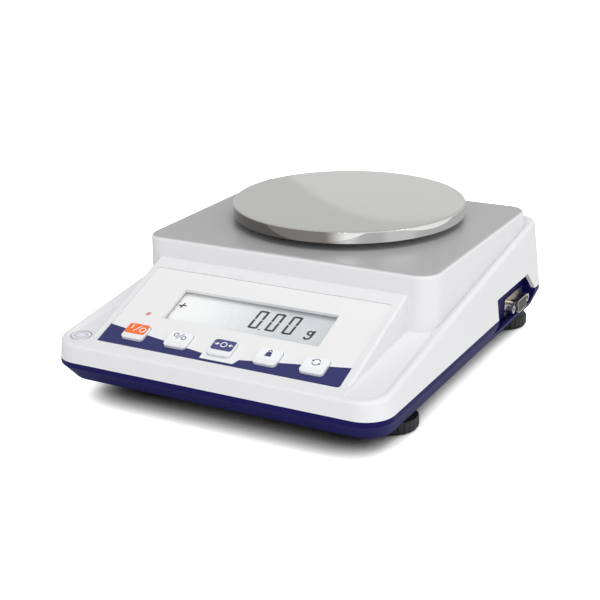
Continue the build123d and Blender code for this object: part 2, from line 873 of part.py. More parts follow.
def overload_stops():
    """Stop screws and their lock nuts under the free end of the beam."""
    solids = []
    plate_top = plate_z + plate_thickness
    for side in (-1, 1):
        x, y = side * stop_x, pan_y + stop_y
        solids.append(rod(stop_radius, plate_z, cell_z - stop_gap, x, y))
        nut = Pos(x, y, plate_top) * extrude(RegularPolygon(stop_nut_radius, 6), stop_nut_height)
        hole = rod(stop_radius + thread_gap, plate_top - PAST, plate_top + stop_nut_height + PAST, x, y)
        solids.append(nut - hole)
    return group(solids)


def base_plate_screws():
    """Screws from under the tray into the base plate."""
    low = plate_recess_z - m4_head_height
    tip = plate_z + plate_screw_grip
    return group(
        rod(m4_head_radius, low, plate_recess_z, x, y) + rod(m4_radius, plate_recess_z, tip, x, y)
        for x, y in plate_screws
    )


# Front panel


def panel_film():
    """Printed film in the panel pocket, open over the display, the lamp and the keys."""
    face = RectangleRounded(film_width, film_length, film_corner - film_clearance)
    face -= Pos(window_x, window_y) * RectangleRounded(window_width, window_height, window_corner)
    face -= Pos(led_x, led_y) * Circle(led_radius + led_hole_gap)
    for x in key_xs:
        face -= Pos(x, key_y) * RectangleRounded(
            key_width + 2 * key_clearance, key_length + 2 * key_clearance, key_corner + key_clearance
        )
    return panel * Pos(0, 0, -film_thickness) * extrude(face, film_thickness)


def display_window():
    """Clear plate glued up into the panel from inside."""
    return panel * Pos(window_x, window_y, window_top - window_thickness) * extrude(
        RectangleRounded(window_width + 2 * window_lap, window_height + 2 * window_lap, window_corner),
        window_thickness,
    )


def lcd_glass():
    """Liquid crystal cell."""
    return panel * Pos(window_x, window_y, lcd_top) * Box(lcd_width, lcd_height, lcd_thickness, align=DOWN)


def lcd_holder():
    """Frame that holds the liquid crystal cell on the display board."""
    room_width = lcd_width + 2 * lcd_play
    room_height = lcd_height + 2 * lcd_play
    outer = Box(room_width + 2 * holder_wall, room_height + 2 * holder_wall, holder_height, align=UP)
    inner = Pos(0, 0, holder_floor) * Box(room_width, room_height, holder_height, align=UP)
    return panel * Pos(window_x, window_y, display_board_top) * (outer - inner)


def display_board():
    """Circuit board behind the panel."""
    body = Pos(0, display_board_shift, display_board_top) * Box(
        display_board_width, display_board_length, board_thickness, align=DOWN
    )
    for x, y in display_screws:
        body -= Pos(x, y, display_board_top) * Cylinder(m25_radius + board_hole_gap, 4 * board_thickness)
    return panel * body


def key_cap(x):
    """Raised key with a retaining flange behind the panel."""
    cap = Pos(0, 0, key_bottom + key_flange) * extrude(
        RectangleRounded(key_width, key_length, key_corner), key_proud - key_bottom - key_flange
    )
    cap = fillet(cap.edges().group_by(Axis.Z)[-1], key_round)
    reach = 2 * (key_clearance + key_flange_lap)
    flange = Pos(0, 0, key_bottom) * extrude(
        RectangleRounded(key_width + reach, key_length + reach, key_corner), key_flange
    )
    return panel * Pos(x, key_y, 0) * (cap + flange)


def key_plunger(x):
    """Plunger of the switch under a key."""
    return panel * Pos(x, key_y, key_bottom) * Cylinder(plunger_radius, 2 * plunger_sunk, align=DOWN)


def key_switches():
    """Switch bodies on the display board."""
    solids = []
    for x in key_xs:
        body = Pos(0, 0, display_board_top) * Box(
            switch_size, switch_size, switch_top - display_board_top, align=UP
        )
        body -= Pos(0, 0, switch_top + PAST) * Cylinder(
            plunger_radius + plunger_fit, PAST + plunger_sunk + key_travel + key_end_gap, align=DOWN
        )
        solids.append(panel * Pos(x, key_y, 0) * body)
    return group(solids)


def status_lamp():
    """Red lamp on the display board, flush with the film."""
    dome_z = -led_sunk - led_radius
    stem = Cylinder(led_radius, dome_z - display_board_top, align=UP)
    dome = Pos(0, 0, dome_z - display_board_top) * Sphere(led_radius)
    flange = Cylinder(led_radius + led_flange, led_flange_height, align=UP)
    return panel * Pos(led_x, led_y, display_board_top) * (stem + dome + flange)


# Bubble level


def level_cup():
    """White cup of the bubble level, with a flange on the ledge."""
    flange_z = level_top_z - level_flange_height
    body = rod(level_radius, flange_z, level_top_z)
    body += rod(level_radius - level_wall, level_top_z - level_height, flange_z)
    inner = level_radius - 2 * level_wall
    body -= rod(inner, level_top_z - level_height + level_floor, level_top_z + PAST)
    return Pos(level_x, level_y, 0) * body


def level_vial():
    """Clear window and liquid of the bubble level, with the bubble left out."""
    inner = level_radius - 2 * level_wall
    body = rod(inner, level_top_z - level_height + level_floor, level_top_z)
    bubble = Pos(0, 0, level_top_z - level_window) * Cylinder(bubble_radius, bubble_height, align=DOWN)
    return Pos(level_x, level_y, 0) * (body - bubble)


# Levelling feet


def foot_pad(x, y):
    """Rubber pad that stands on the bench."""
    body = rod(pad_radius, 0.0, pad_height) + rod(pad_spigot_radius, pad_height, pad_height + pad_spigot_height)
    return Pos(x, y, 0) * body


def foot_knob(x, y):
    """Scalloped disc that turns the levelling stud."""
    body = rod(foot_radius, pad_height, foot_height)
    body = chamfer(body.edges().group_by(Axis.Z)[-1], foot_chamfer)
    for i in range(foot_lobes):
        body -= Rot(Z=360 * i / foot_lobes) * rod(
            foot_lobe_radius, 0.0, foot_height + PAST, foot_radius + foot_lobe_radius / 2
        )
    body -= rod(pad_spigot_radius + pad_spigot_fit, 0.0, pad_height + pad_spigot_height + pad_spigot_end_gap)
    body -= rod(stud_radius, foot_height - stud_root, foot_height + PAST)
    return Pos(x, y, 0) * body


def foot_stud(x, y):
    """Threaded steel stud, moulded into the disc."""
    body = rod(stud_radius, foot_height - stud_root, stud_top_z)
    return Pos(x, y, 0) * chamfer(body.edges().group_by(Axis.Z)[-1], foot_chamfer)


def foot_inserts():
    """Brass inserts in the foot bosses."""
    return group(
        rod(insert_radius, tray_bottom_z, tray_bottom_z + insert_height, x, y)
        - rod(stud_radius + stud_fit, tray_bottom_z - PAST, tray_bottom_z + insert_height + PAST, x, y)
        for x, y in feet.values()
    )


# Serial port and power inlet


def d_outline(width, height):
    """Outline of a D-shaped connector, wider at the top, with rounded corners."""
    slant = height * tan(radians(port_shell_angle))
    pts = [(-width / 2, height / 2), (width / 2, height / 2)]
    pts += [(width / 2 - slant, -height / 2), (-width / 2 + slant, -height / 2)]
    face = make_face(Polyline(*pts, close=True))
    return fillet(face.vertices(), height / 4)


def serial_shell():
    """Plated flange with the D-shaped sleeve."""
    plate = RectangleRounded(port_flange_width, port_flange_height, port_flange_corner)
    flange = extrude(plate, port_flange_thickness)
    sleeve = extrude(d_outline(port_shell_width, port_shell_height), port_flange_thickness + port_shell_depth)
    body = flange + sleeve
    inner_w = port_shell_width - 2 * port_shell_wall
    inner_h = port_shell_height - 2 * port_shell_wall
    depth = port_flange_thickness + port_shell_depth + 2 * PAST
    body -= Pos(0, 0, -PAST) * extrude(d_outline(inner_w, inner_h), depth)
    for side in (-1, 1):
        body -= Pos(side * port_screw_spacing / 2, 0, -PAST) * Cylinder(
            port_screw_radius + thread_gap, port_flange_thickness + 2 * PAST, align=UP
        )
    return port_plane * body


def pin_places():
    """Where the nine contacts stand: five above four."""
    upper = [((i - 2) * port_pin_pitch, port_row_gap / 2) for i in range(5)]
    lower = [((i - 1.5) * port_pin_pitch, -port_row_gap / 2) for i in range(4)]
    return upper + lower


def serial_insulator():
    """Black insulator of the serial port, with its contact holes."""
    inner_w = port_shell_width - 2 * port_shell_wall
    inner_h = port_shell_height - 2 * port_shell_wall
    front = port_flange_thickness + port_shell_depth - port_insulator_sunk
    body = extrude(d_outline(inner_w, inner_h), front)
    body += Box(port_back_width, port_back_height, port_back_depth, align=DOWN)
    for x, y in pin_places():
        body -= Pos(x, y, -port_back_depth - PAST) * Cylinder(
            port_pin_radius, front + port_back_depth + 2 * PAST, align=UP
        )
    return port_plane * body


def serial_pins():
    """Nine contacts with solder tails."""
    tail = port_back_depth + port_pin_tail
    pin = Cylinder(port_pin_radius, tail + port_pin_reach, align=UP)
    return group(port_plane * Pos(x, y, -tail) * pin for x, y in pin_places())


def serial_jackscrews():
    """Hexagonal jackscrews with a tapped hole for the plug's screws."""
    solids = []
    for side in (-1, 1):
        hexagon = extrude(RegularPolygon(port_hex_radius, 6), port_hex_length)
        shank = Cylinder(port_screw_radius, port_screw_shank, align=DOWN)
        body = Pos(0, 0, port_flange_thickness) * hexagon + Pos(0, 0, port_flange_thickness) * shank
        front = port_flange_thickness + port_hex_length
        body -= Pos(0, 0, front + PAST) * Cylinder(port_hole_radius, PAST + port_hole_depth, align=DOWN)
        solids.append(port_plane * Pos(side * port_screw_spacing / 2, 0, 0) * body)
    return group(solids)


def power_jack():
    """Round low-voltage inlet in the rear wall."""
    nose = Cylinder(jack_nose_radius, jack_nose_depth, align=DOWN)
    body = Pos(0, 0, -jack_nose_depth) * Box(jack_width, jack_height, jack_depth, align=DOWN)
    body = body + nose - Pos(0, 0, PAST) * Cylinder(jack_bore_radius, PAST + jack_bore_depth, align=DOWN)
    pin = Pos(0, 0, -jack_bore_depth) * Cylinder(jack_pin_radius, jack_bore_depth - jack_pin_sunk, align=UP)
    return jack_plane * (body + pin)


# Main circuit board and its parts


def main_board():
    """Circuit board beside the load cell."""
    body = slab(
        main_board_width,
        main_board_length,
        board_thickness,
        main_board_round,
        main_board_x,
        main_board_y,
        main_board_z,
    )
    for x, y in main_screws:
        body -= rod(m25_radius + board_hole_gap, main_board_z - PAST, board_top_z + PAST, x, y)
    return body


def row_y(row):
    """How far back a row of board parts lies, counted from the board's front edge."""
    return main_board_y - main_board_length / 2 + row


def on_board(row):
    """A place on the middle line of the main board."""
    return Pos(main_board_x, row_y(row), board_top_z)


def processor_chip():
    """Flat processor package."""
    return on_board(chip_row) * Box(chip_size, chip_size, chip_height, align=UP)


def analog_shield():
    """Folded tin can over the weighing amplifier."""
    can = Box(shield_width, shield_length, shield_height, align=UP)
    room = Box(
        shield_width - 2 * shield_wall, shield_length - 2 * shield_wall, shield_height - shield_wall, align=UP
    )
    return on_board(shield_row) * (can - room)


def board_headers():
    """Cable headers for the display, the load cell and the serial port."""
    header = Box(header_width, header_length, header_height, align=UP)
    room = Box(header_width - 2 * header_wall, header_length - 2 * header_wall, header_height, align=UP)
    return group(on_board(row) * (header - Pos(0, 0, header_floor) * room) for row in header_rows.values())


def buzzer():
    """Round sounder with its port."""
    body = Cylinder(buzzer_radius, buzzer_height, align=UP)
    body -= Pos(0, 0, buzzer_height + PAST) * Cylinder(buzzer_port_radius, buzzer_port_depth + PAST, align=DOWN)
    return on_board(buzzer_row) * body


def board_screws():
    """Small screws of both circuit boards."""
    screw = Cylinder(m25_head_radius, m25_head_height, align=UP)
    screw += Cylinder(m25_radius - grip_gap, m25_length, align=DOWN)
    upright = [Pos(x, y, board_top_z) * screw for x, y in main_screws]
    hanging = [
        panel * Pos(x, y, display_board_top - board_thickness) * Rot(X=180) * screw for x, y in display_screws
    ]
    return group(upright + hanging)


def housing_screws():
    """Long screws from under the tray into the housing posts."""
    return group(
        rod(m3_head_radius, m3_recess_z - m3_head_height, m3_recess_z, x, y)
        + rod(m3_pilot_radius - grip_gap, m3_recess_z, m3_recess_z + m3_length, x, y)
        for x, y in screw_posts
    )


def lead(radius, bend, *points):
    """A round lead along straight runs joined by arcs."""
    path = FilletPolyline(*points, radius=bend)
    return sweep(Plane(origin=path @ 0, z_dir=path % 0) * Circle(radius), path)


def display_ribbon(end):
    """Flat cable from the underside of the display board down into its header."""
    x, y, z = end
    under = display_board_top - board_thickness
    start_y = panel_y + panel_up[1] * ribbon_start + panel_out[1] * under
    start_z = panel_z + panel_up[2] * ribbon_start + panel_out[2] * under
    below = (x, start_y - ribbon_drop * panel_out[1], start_z - ribbon_drop * panel_out[2])
    route = FilletPolyline((x, start_y, start_z), below, (x, y, z + lead_rise), end, radius=ribbon_bend)
    strip = Rectangle(ribbon_width, ribbon_thickness)
    return sweep(Plane(origin=route @ 0, z_dir=route % 0, x_dir=(1, 0, 0)) * strip, route)


def cell_lead(end):
    """Screened lead from the fixed end of the load cell over to its header."""
    x, y, z = end
    side = -cell_width / 2
    start_y = pan_y - cell_length / 2 + cell_lead_inset
    start_z = cell_z + cell_lead_height
    return lead(
        cell_lead_radius,
        cell_lead_bend,
        (side, start_y, start_z),
        (side - cell_lead_reach, start_y, start_z),
        (x, y, z + lead_rise),
        end,
    )


def port_lead(end):
    """Lead from the serial port along the floor, round the base plate and up to its header."""
    x, y, z = end
    tail_x = bay_wall_x - port_back_depth - port_pin_tail
    side = plate_width / 2 + port_lead_side
    front = pan_y - plate_length / 2
    low = floor_z + port_lead_height
    return lead(
        port_lead_radius,
        port_lead_bend,
        (tail_x, port_y, port_z),
        (tail_x - port_lead_run, port_y, port_z),
        (side, port_y - port_lead_lag, low),
        (side, front + port_lead_inset, low),
        (plate_width / 2, front - port_lead_front, low),
        (-plate_width / 2, front - port_lead_front, low),
        (x + port_lead_turn, y, z + lead_rise),
        (x, y, z + lead_rise),
        end,
    )


def internal_leads():
    """The three cables inside, each from its source to its header."""
    ends = {
        name: (main_board_x, row_y(row), board_top_z + header_floor) for name, row in header_rows.items()
    }
    return group([display_ribbon(ends["display"]), cell_lead(ends["cell"]), port_lead(ends["serial"])])


def main():
    """Build every sub-part and write it out."""
    os.makedirs("parts", exist_ok=True)
    single = [
        upper_housing,
        base_tray,
        weighing_pan,
        pan_support,
        pan_buffers,
        support_screw,
        carrier_bridge,
        load_cell,
        strain_gauges,
        cell_fixed_spacer,
        cell_base_plate,
        cell_fixed_screws,
        cell_free_screws,
        overload_stops,
        base_plate_screws,
        panel_film,
        display_window,
        lcd_glass,
        lcd_holder,
        display_board,
        key_switches,
        status_lamp,
        level_cup,
        level_vial,
        foot_inserts,
        serial_shell,
        serial_insulator,
        serial_pins,
        serial_jackscrews,
        power_jack,
        main_board,
        processor_chip,
        analog_shield,
        board_headers,
        buzzer,
        board_screws,
        housing_screws,
        internal_leads,
    ]
    for build in single:
        save(build(), build.__name__)
    for name, x in zip(key_names, key_xs):
        save(key_cap(x), f"{name}_key")
        save(key_plunger(x), f"{name}_plunger")
    for name, (x, y) in feet.items():
        save(foot_pad(x, y), f"{name}_foot_pad")
        save(foot_knob(x, y), f"{name}_foot_knob")
        save(foot_stud(x, y), f"{name}_foot_stud")


main()
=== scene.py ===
"""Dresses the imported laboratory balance: studio, finishes, prints and fine pieces on its solids."""

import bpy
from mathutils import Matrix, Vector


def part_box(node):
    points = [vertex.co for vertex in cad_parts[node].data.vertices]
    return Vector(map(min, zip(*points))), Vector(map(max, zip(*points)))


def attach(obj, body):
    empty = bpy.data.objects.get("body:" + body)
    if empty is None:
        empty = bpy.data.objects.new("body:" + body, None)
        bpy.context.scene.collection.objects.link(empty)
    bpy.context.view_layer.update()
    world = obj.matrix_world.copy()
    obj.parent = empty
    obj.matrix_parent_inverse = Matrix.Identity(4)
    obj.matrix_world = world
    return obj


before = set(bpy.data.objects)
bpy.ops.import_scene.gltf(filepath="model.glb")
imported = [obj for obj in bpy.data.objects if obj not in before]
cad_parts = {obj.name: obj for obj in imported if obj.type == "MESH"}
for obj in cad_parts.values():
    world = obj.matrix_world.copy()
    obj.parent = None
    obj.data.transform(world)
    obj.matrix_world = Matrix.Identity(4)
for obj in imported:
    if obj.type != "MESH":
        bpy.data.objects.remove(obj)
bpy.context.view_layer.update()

import logging
import math
from collections.abc import Iterable
from dataclasses import dataclass, field, replace
from enum import Enum

import bmesh
import bpy
from mathutils import Matrix, Vector

LOG = logging.getLogger("balance")
MM = 0.001
FULL_WHITE = (1.0, 1.0, 1.0, 1.0)
BRUSH_STRETCH = (0.035, 1.0, 1.0)
RELIEF_DEPTH = 0.1 * MM
KEY_ROW_START = -56.6
KEY_PITCH = 27.3
KEY_TOP = 1.6

Colour = tuple[float, float, float]
Place = tuple[float, float, float]
Point = tuple[float, float]
Socket = bpy.types.NodeSocket
Value = Socket | float | Colour


class Slot(Enum):
    """Names of the record's material slots; nothing in this script uses them."""

    LCD = "lcd"
    KEY_WHITE = "key_white"
    KEY_ORANGE = "key_orange"
    KEY_NAVY = "key_navy"
    LIQUID = "level_liquid"


class Surface(Enum):
    """How a skin is worked: with grain alike in all directions, or drawn out in lines across."""

    EVEN = "even"
    BRUSHED = "brushed"


class Key(Enum):
    """The five keys of the panel, from the left."""

    POWER = "power"
    UNIT = "unit"
    TARE = "tare"
    CALIBRATE = "calibrate"
    CONVERT = "convert"

    @property
    def across(self) -> float:
        """Middle of the key, in millimetres across the panel."""
        return KEY_ROW_START + list(Key).index(self) * KEY_PITCH

    @property
    def body(self) -> str:
        """The name that the key's node and its body share."""
        return f"{self.value}_key"


class Tree:
    """A shader node tree with short calls to add and join nodes."""

    def __init__(self, tree: bpy.types.NodeTree) -> None:
        """Empty the tree.

        Args:
            tree: The node tree of a material, a world or a group.
        """
        self.tree = tree
        tree.nodes.clear()

    def add(self, kind: str, **settings: object) -> bpy.types.Node:
        """Add a node.

        Args:
            kind: The node's type without its Shader prefix, or in full.
            **settings: Attributes of the node.

        Returns:
            The new node.
        """
        full = kind if kind.startswith("Node") else f"ShaderNode{kind}"
        node = self.tree.nodes.new(full)
        for name, value in settings.items():
            setattr(node, name, value)
        return node

    def join(self, source: Socket, target: Socket) -> None:
        """Link an output to an input."""
        self.tree.links.new(source, target)

    def feed(self, target: Socket, value: Value) -> None:
        """Set an input from a socket, a number or a colour.

        Args:
            target: The input.
            value: An output socket, a number, or three numbers.
        """
        if isinstance(value, Socket):
            self.join(value, target)
        elif isinstance(value, tuple) and target.type == "RGBA":
            target.default_value = (*value, 1.0)
        else:
            target.default_value = value

    def math(self, operation: str, *values: Value) -> Socket:
        """Work out a number.

        Args:
            operation: The Math node's operation.
            *values: Sockets or numbers, in the node's order.

        Returns:
            The result's socket.
        """
        node = self.add("Math", operation=operation)
        for target, value in zip(node.inputs, values):
            self.feed(target, value)
        return node.outputs[0]

    def blend(self, share: Value, first: Value, second: Value) -> Socket:
        """Mix two colours.

        Args:
            share: How much of the second shows.
            first: Colour or socket.
            second: Colour or socket.

        Returns:
            The mixed colour's socket.
        """
        node = self.add("Mix", data_type="RGBA")
        self.feed(node.inputs[0], share)
        self.feed(node.inputs[6], first)
        self.feed(node.inputs[7], second)
        return node.outputs[2]

    def step(self, value: Value, edge: float, softness: float) -> Socket:
        """A mask that is 1 where a value lies above an edge.

        Args:
            value: The socket tested.
            edge: Where the mask is half.
            softness: Half the width of the change.

        Returns:
            The mask's socket.
        """
        node = self.add("MapRange", interpolation_type="SMOOTHSTEP")
        self.feed(node.inputs[0], value)
        node.inputs[1].default_value = edge - softness
        node.inputs[2].default_value = edge + softness
        return node.outputs[0]

    def between(self, share: Socket, levels: tuple[float, float]) -> Socket:
        """A level between two others.

        Args:
            share: How far it lies from the first to the second.
            levels: The two levels.

        Returns:
            The level's socket.
        """
        low, high = levels
        return self.math("MULTIPLY_ADD", share, high - low, low)

    def distance(self, across: Socket, along: Socket) -> Socket:
        """Distance from a middle.

        Args:
            across: Offset from the middle in one direction.
            along: Offset from the middle at right angles to it.

        Returns:
            The distance's socket.
        """
        squares = self.math("ADD", self.math("POWER", across, 2.0), self.math("POWER", along, 2.0))
        return self.math("SQRT", squares)

    def facing(self, direction: Socket, towards: Place) -> Socket:
        """How nearly a ray points in a direction.

        Args:
            direction: The ray's direction.
            towards: The direction it is measured against.

        Returns:
            The socket of the cosine between the two.
        """
        node = self.add("VectorMath", operation="DOT_PRODUCT")
        self.join(direction, node.inputs[0])
        node.inputs[1].default_value = Vector(towards).normalized()
        return node.outputs["Value"]

    def mirrored(self, path: bpy.types.Node) -> Socket:
        """Whether a Light Path node's ray has met polished metal or glass."""
        return self.math("MAXIMUM", path.outputs["Is Glossy Ray"], path.outputs["Is Transmission Ray"])


@dataclass
class Effects:
    """Shader node groups that several finishes share, each built once."""

    fine_detail: float = 3.0
    cloud_scale: float = 22.0
    cloud_detail: float = 4.0
    noise_middle: float = 0.5
    made: dict[str, bpy.types.NodeTree] = field(default_factory=dict)

    def _open(
        self, name: str, inputs: dict[str, str], outputs: dict[str, str]
    ) -> tuple[Tree, bpy.types.Node, bpy.types.Node]:
        """Open a new group with named sockets.

        Args:
            name: The group's name.
            inputs: Socket type by name.
            outputs: Socket type by name.

        Returns:
            The tree, the group's input node and its output node.
        """
        tree = bpy.data.node_groups.new(name, "ShaderNodeTree")
        for label, kind in inputs.items():
            tree.interface.new_socket(label, in_out="INPUT", socket_type=f"NodeSocket{kind}")
        for label, kind in outputs.items():
            tree.interface.new_socket(label, in_out="OUTPUT", socket_type=f"NodeSocket{kind}")
        nodes = Tree(tree)
        return nodes, nodes.add("NodeGroupInput"), nodes.add("NodeGroupOutput")

    def _noise(self, nodes: Tree, place: Socket, scale: Value, detail: float) -> Socket:
        """Add a noise texture.

        Args:
            nodes: The group's tree.
            place: The socket of coordinates.
            scale: Socket or number of its scale.
            detail: How many finer layers it has.

        Returns:
            The noise's socket.
        """
        noise = nodes.add("TexNoise")
        noise.inputs["Detail"].default_value = detail
        nodes.join(place, noise.inputs["Vector"])
        nodes.feed(noise.inputs["Scale"], scale)
        return noise.outputs[0]

    def grain(self) -> bpy.types.NodeTree:
        """Grain of a moulded or machined skin: fine relief, clouded colour and gloss.

        Returns:
            The group, which puts out Colour, Roughness and Height.
        """
        if "grain" in self.made:
            return self.made["grain"]
        asked = {"Place": "Vector", "Colour": "Color"}
        asked |= {name: "Float" for name in ("Clouding", "Grain", "Streak", "Roughness", "Spread")}
        results = {"Colour": "Color", "Roughness": "Float", "Height": "Float"}
        nodes, given, result = self._open("skin grain", asked, results)
        place = given.outputs["Place"]
        fine = self._noise(nodes, place, given.outputs["Grain"], self.fine_detail)
        cloud = self._noise(nodes, place, self.cloud_scale, self.cloud_detail)
        patch = nodes.math("SUBTRACT", cloud, self.noise_middle)
        speck = nodes.math("SUBTRACT", fine, self.noise_middle)
        light = nodes.math("MULTIPLY_ADD", patch, given.outputs["Clouding"], 1.0)
        light = nodes.math("MULTIPLY_ADD", speck, given.outputs["Streak"], light)
        scaled = nodes.add("VectorMath", operation="SCALE")
        nodes.join(given.outputs["Colour"], scaled.inputs[0])
        nodes.join(light, scaled.inputs["Scale"])
        nodes.join(scaled.outputs[0], result.inputs["Colour"])
        both = nodes.math("ADD", speck, patch)
        rough = nodes.math("MULTIPLY_ADD", both, given.outputs["Spread"], given.outputs["Roughness"])
        nodes.join(rough, result.inputs["Roughness"])
        nodes.join(fine, result.inputs["Height"])
        self.made["grain"] = nodes.tree
        return nodes.tree

    def panel_place(self) -> bpy.types.NodeTree:
        """Where a point lies on the sloping panel.

        Returns:
            The group: input Place in metres, outputs Across, Down and Above in millimetres.
        """
        if "panel" in self.made:
            return self.made["panel"]
        results = {"Across": "Float", "Down": "Float", "Above": "Float"}
        nodes, given, result = self._open("panel place", {"Place": "Vector"}, results)
        parts = nodes.add("SeparateXYZ")
        nodes.join(given.outputs[0], parts.inputs[0])
        nodes.join(nodes.math("MULTIPLY", parts.outputs[0], 1 / MM), result.inputs["Across"])
        up = nodes.math("MULTIPLY", parts.outputs[1], PANEL.up.y / MM)
        up = nodes.math("MULTIPLY_ADD", parts.outputs[2], PANEL.up.z / MM, up)
        top = PANEL.up.dot(PANEL.point(0.0, 0.0)) / MM
        nodes.join(nodes.math("SUBTRACT", top, up), result.inputs["Down"])
        out = nodes.math("MULTIPLY", parts.outputs[1], PANEL.out.y / MM)
        out = nodes.math("MULTIPLY_ADD", parts.outputs[2], PANEL.out.z / MM, out)
        face = PANEL.out.dot(PANEL.point(0.0, 0.0)) / MM
        nodes.join(nodes.math("SUBTRACT", out, face), result.inputs["Above"])
        self.made["panel"] = nodes.tree
        return nodes.tree


EFFECTS = Effects()


@dataclass(frozen=True)
class Panel:
    """The sloping panel's plane, in millimetres across and down from the film's top edge."""

    slope: float = math.radians(20.5)
    low_y: float = -113.5
    low_z: float = 36.3
    length: float = 67.2

    @property
    def up(self) -> Vector:
        """Direction up the slope."""
        return Vector((0.0, math.cos(self.slope), math.sin(self.slope)))

    @property
    def out(self) -> Vector:
        """Direction out of the panel."""
        return Vector((0.0, -math.sin(self.slope), math.cos(self.slope)))

    def point(self, across: float, down: float, above: float = 0.0) -> Vector:
        """A place on the panel in metres.

        Args:
            across: Millimetres along X from the middle of the balance.
            down: Millimetres down the slope from the film's top edge.
            above: Millimetres out of the film's face.

        Returns:
            The place in the row frame.
        """
        low = Vector((across, self.low_y, self.low_z))
        return (low + self.up * (self.length - down) + self.out * above) * MM

    def place(self, above: float) -> Matrix:
        """The turn from a drawing on the panel to the row frame.

        Args:
            above: Millimetres from the film's face to the drawing.

        Returns:
            The matrix from millimetres across, up and out to metres.
        """
        origin = self.point(0.0, 0.0, above)
        turn = Matrix((Vector((1.0, 0.0, 0.0)), self.up, self.out)).transposed().to_4x4()
        return Matrix.Translation(origin) @ turn @ Matrix.Scale(MM, 4)


PANEL = Panel()


@dataclass(frozen=True)
class Finish:
    """One finish: its colour, its gloss and the relief of its skin."""

    name: str
    colour: Colour
    roughness: float = 0.45
    metallic: float = 0.0
    surface: Surface = Surface.EVEN
    grain: float = 900.0
    relief: float = 0.04
    clouding: float = 0.04
    spread: float = 0.08
    streak: float = 0.0
    coat: float = 0.0
    alpha: float = 1.0
    specular: float = 0.5
    glow: float = 0.0

    def start(self) -> tuple[bpy.types.Material, Tree, Socket]:
        """Open the material.

        Returns:
            The material, its tree and the socket of Object coordinates.
        """
        material = bpy.data.materials.new(self.name)
        material.use_nodes = True
        nodes = Tree(material.node_tree)
        place = nodes.add("TexCoord").outputs["Object"]
        return material, nodes, place

    def close(self, nodes: Tree, place: Socket, colour: Value) -> None:
        """Add grain, relief and the shader to a colour.

        Args:
            nodes: The material's tree.
            place: The socket of coordinates.
            colour: The print or plain colour under the grain.
        """
        if self.surface is Surface.BRUSHED:
            stretch = nodes.add("Mapping")
            stretch.inputs["Scale"].default_value = BRUSH_STRETCH
            nodes.join(place, stretch.inputs["Vector"])
            place = stretch.outputs[0]
        grain = nodes.add("Group", node_tree=EFFECTS.grain())
        nodes.join(place, grain.inputs["Place"])
        nodes.feed(grain.inputs["Colour"], colour)
        nodes.feed(grain.inputs["Clouding"], self.clouding)
        nodes.feed(grain.inputs["Grain"], self.grain)
        nodes.feed(grain.inputs["Streak"], self.streak)
        nodes.feed(grain.inputs["Roughness"], self.roughness)
        nodes.feed(grain.inputs["Spread"], self.spread)
        relief = nodes.add("Bump")
        relief.inputs["Strength"].default_value = self.relief
        relief.inputs["Distance"].default_value = RELIEF_DEPTH
        nodes.join(grain.outputs["Height"], relief.inputs["Height"])
        shader = nodes.add("BsdfPrincipled")
        nodes.join(grain.outputs["Colour"], shader.inputs["Base Color"])
        nodes.join(grain.outputs["Roughness"], shader.inputs["Roughness"])
        nodes.join(relief.outputs[0], shader.inputs["Normal"])
        shader.inputs["Metallic"].default_value = self.metallic
        shader.inputs["Specular IOR Level"].default_value = self.specular
        shader.inputs["Coat Weight"].default_value = self.coat
        shader.inputs["Alpha"].default_value = self.alpha
        if self.glow:
            nodes.feed(shader.inputs["Emission Color"], colour)
            shader.inputs["Emission Strength"].default_value = self.glow
        end = nodes.add("OutputMaterial")
        nodes.join(shader.outputs[0], end.inputs["Surface"])

    def material(self) -> bpy.types.Material:
        """Make the finish in its one colour.

        Returns:
            The material.
        """
        material, nodes, place = self.start()
        self.close(nodes, place, self.colour)
        return material


@dataclass(frozen=True)
class Patch:
    """A filled outline, given by its corners in millimetres."""

    corners: tuple[Point, ...]

    def faces(self, mesh: bmesh.types.BMesh, middle: Vector) -> list[bmesh.types.BMFace]:
        """Lay the patch flat.

        Args:
            mesh: The drawing's mesh.
            middle: The point that the corners are measured from.

        Returns:
            Its one face.
        """
        corners = [mesh.verts.new(middle + Vector((*corner, 0.0))) for corner in self.corners]
        return [mesh.faces.new(corners)]


@dataclass(frozen=True)
class Bar:
    """A straight stroke with square ends, given by its middle line and width in millimetres."""

    start: Point
    end: Point
    width: float

    def faces(self, mesh: bmesh.types.BMesh, middle: Vector) -> list[bmesh.types.BMFace]:
        """Lay the stroke flat.

        Args:
            mesh: The drawing's mesh.
            middle: The point that the ends are measured from.

        Returns:
            Its one face.
        """
        a, b = Vector(self.start), Vector(self.end)
        side = (b - a).normalized().orthogonal() * self.width / 2
        outline = Patch((tuple(a - side), tuple(b - side), tuple(b + side), tuple(a + side)))
        return outline.faces(mesh, middle)


@dataclass(frozen=True)
class Arc:
    """A curved stroke, in millimetres and in degrees from the across axis."""

    centre: Point
    radius: float
    width: float
    start: float = 0.0
    sweep: float = 360.0
    facet: float = 12.0
    fewest: int = 6

    def faces(self, mesh: bmesh.types.BMesh, middle: Vector) -> list[bmesh.types.BMFace]:
        """Lay the stroke flat.

        Args:
            mesh: The drawing's mesh.
            middle: The point that the centre is measured from.

        Returns:
            Its faces, one for each facet.
        """
        angle = math.radians(self.start)
        ray = Vector((math.cos(angle), math.sin(angle), 0.0))
        hub = middle + Vector((*self.centre, 0.0))
        ends = [mesh.verts.new(hub + ray * (self.radius + side * self.width / 2)) for side in (-1, 1)]
        edge = mesh.edges.new(ends)
        known = set(mesh.faces)
        bmesh.ops.spin(
            mesh,
            geom=[*ends, edge],
            cent=hub,
            axis=(0.0, 0.0, 1.0),
            angle=math.radians(self.sweep),
            steps=max(self.fewest, int(self.sweep / self.facet)),
            use_merge=self.sweep >= 360.0,
        )
        return [face for face in mesh.faces if face not in known]


Stroke = Patch | Bar | Arc


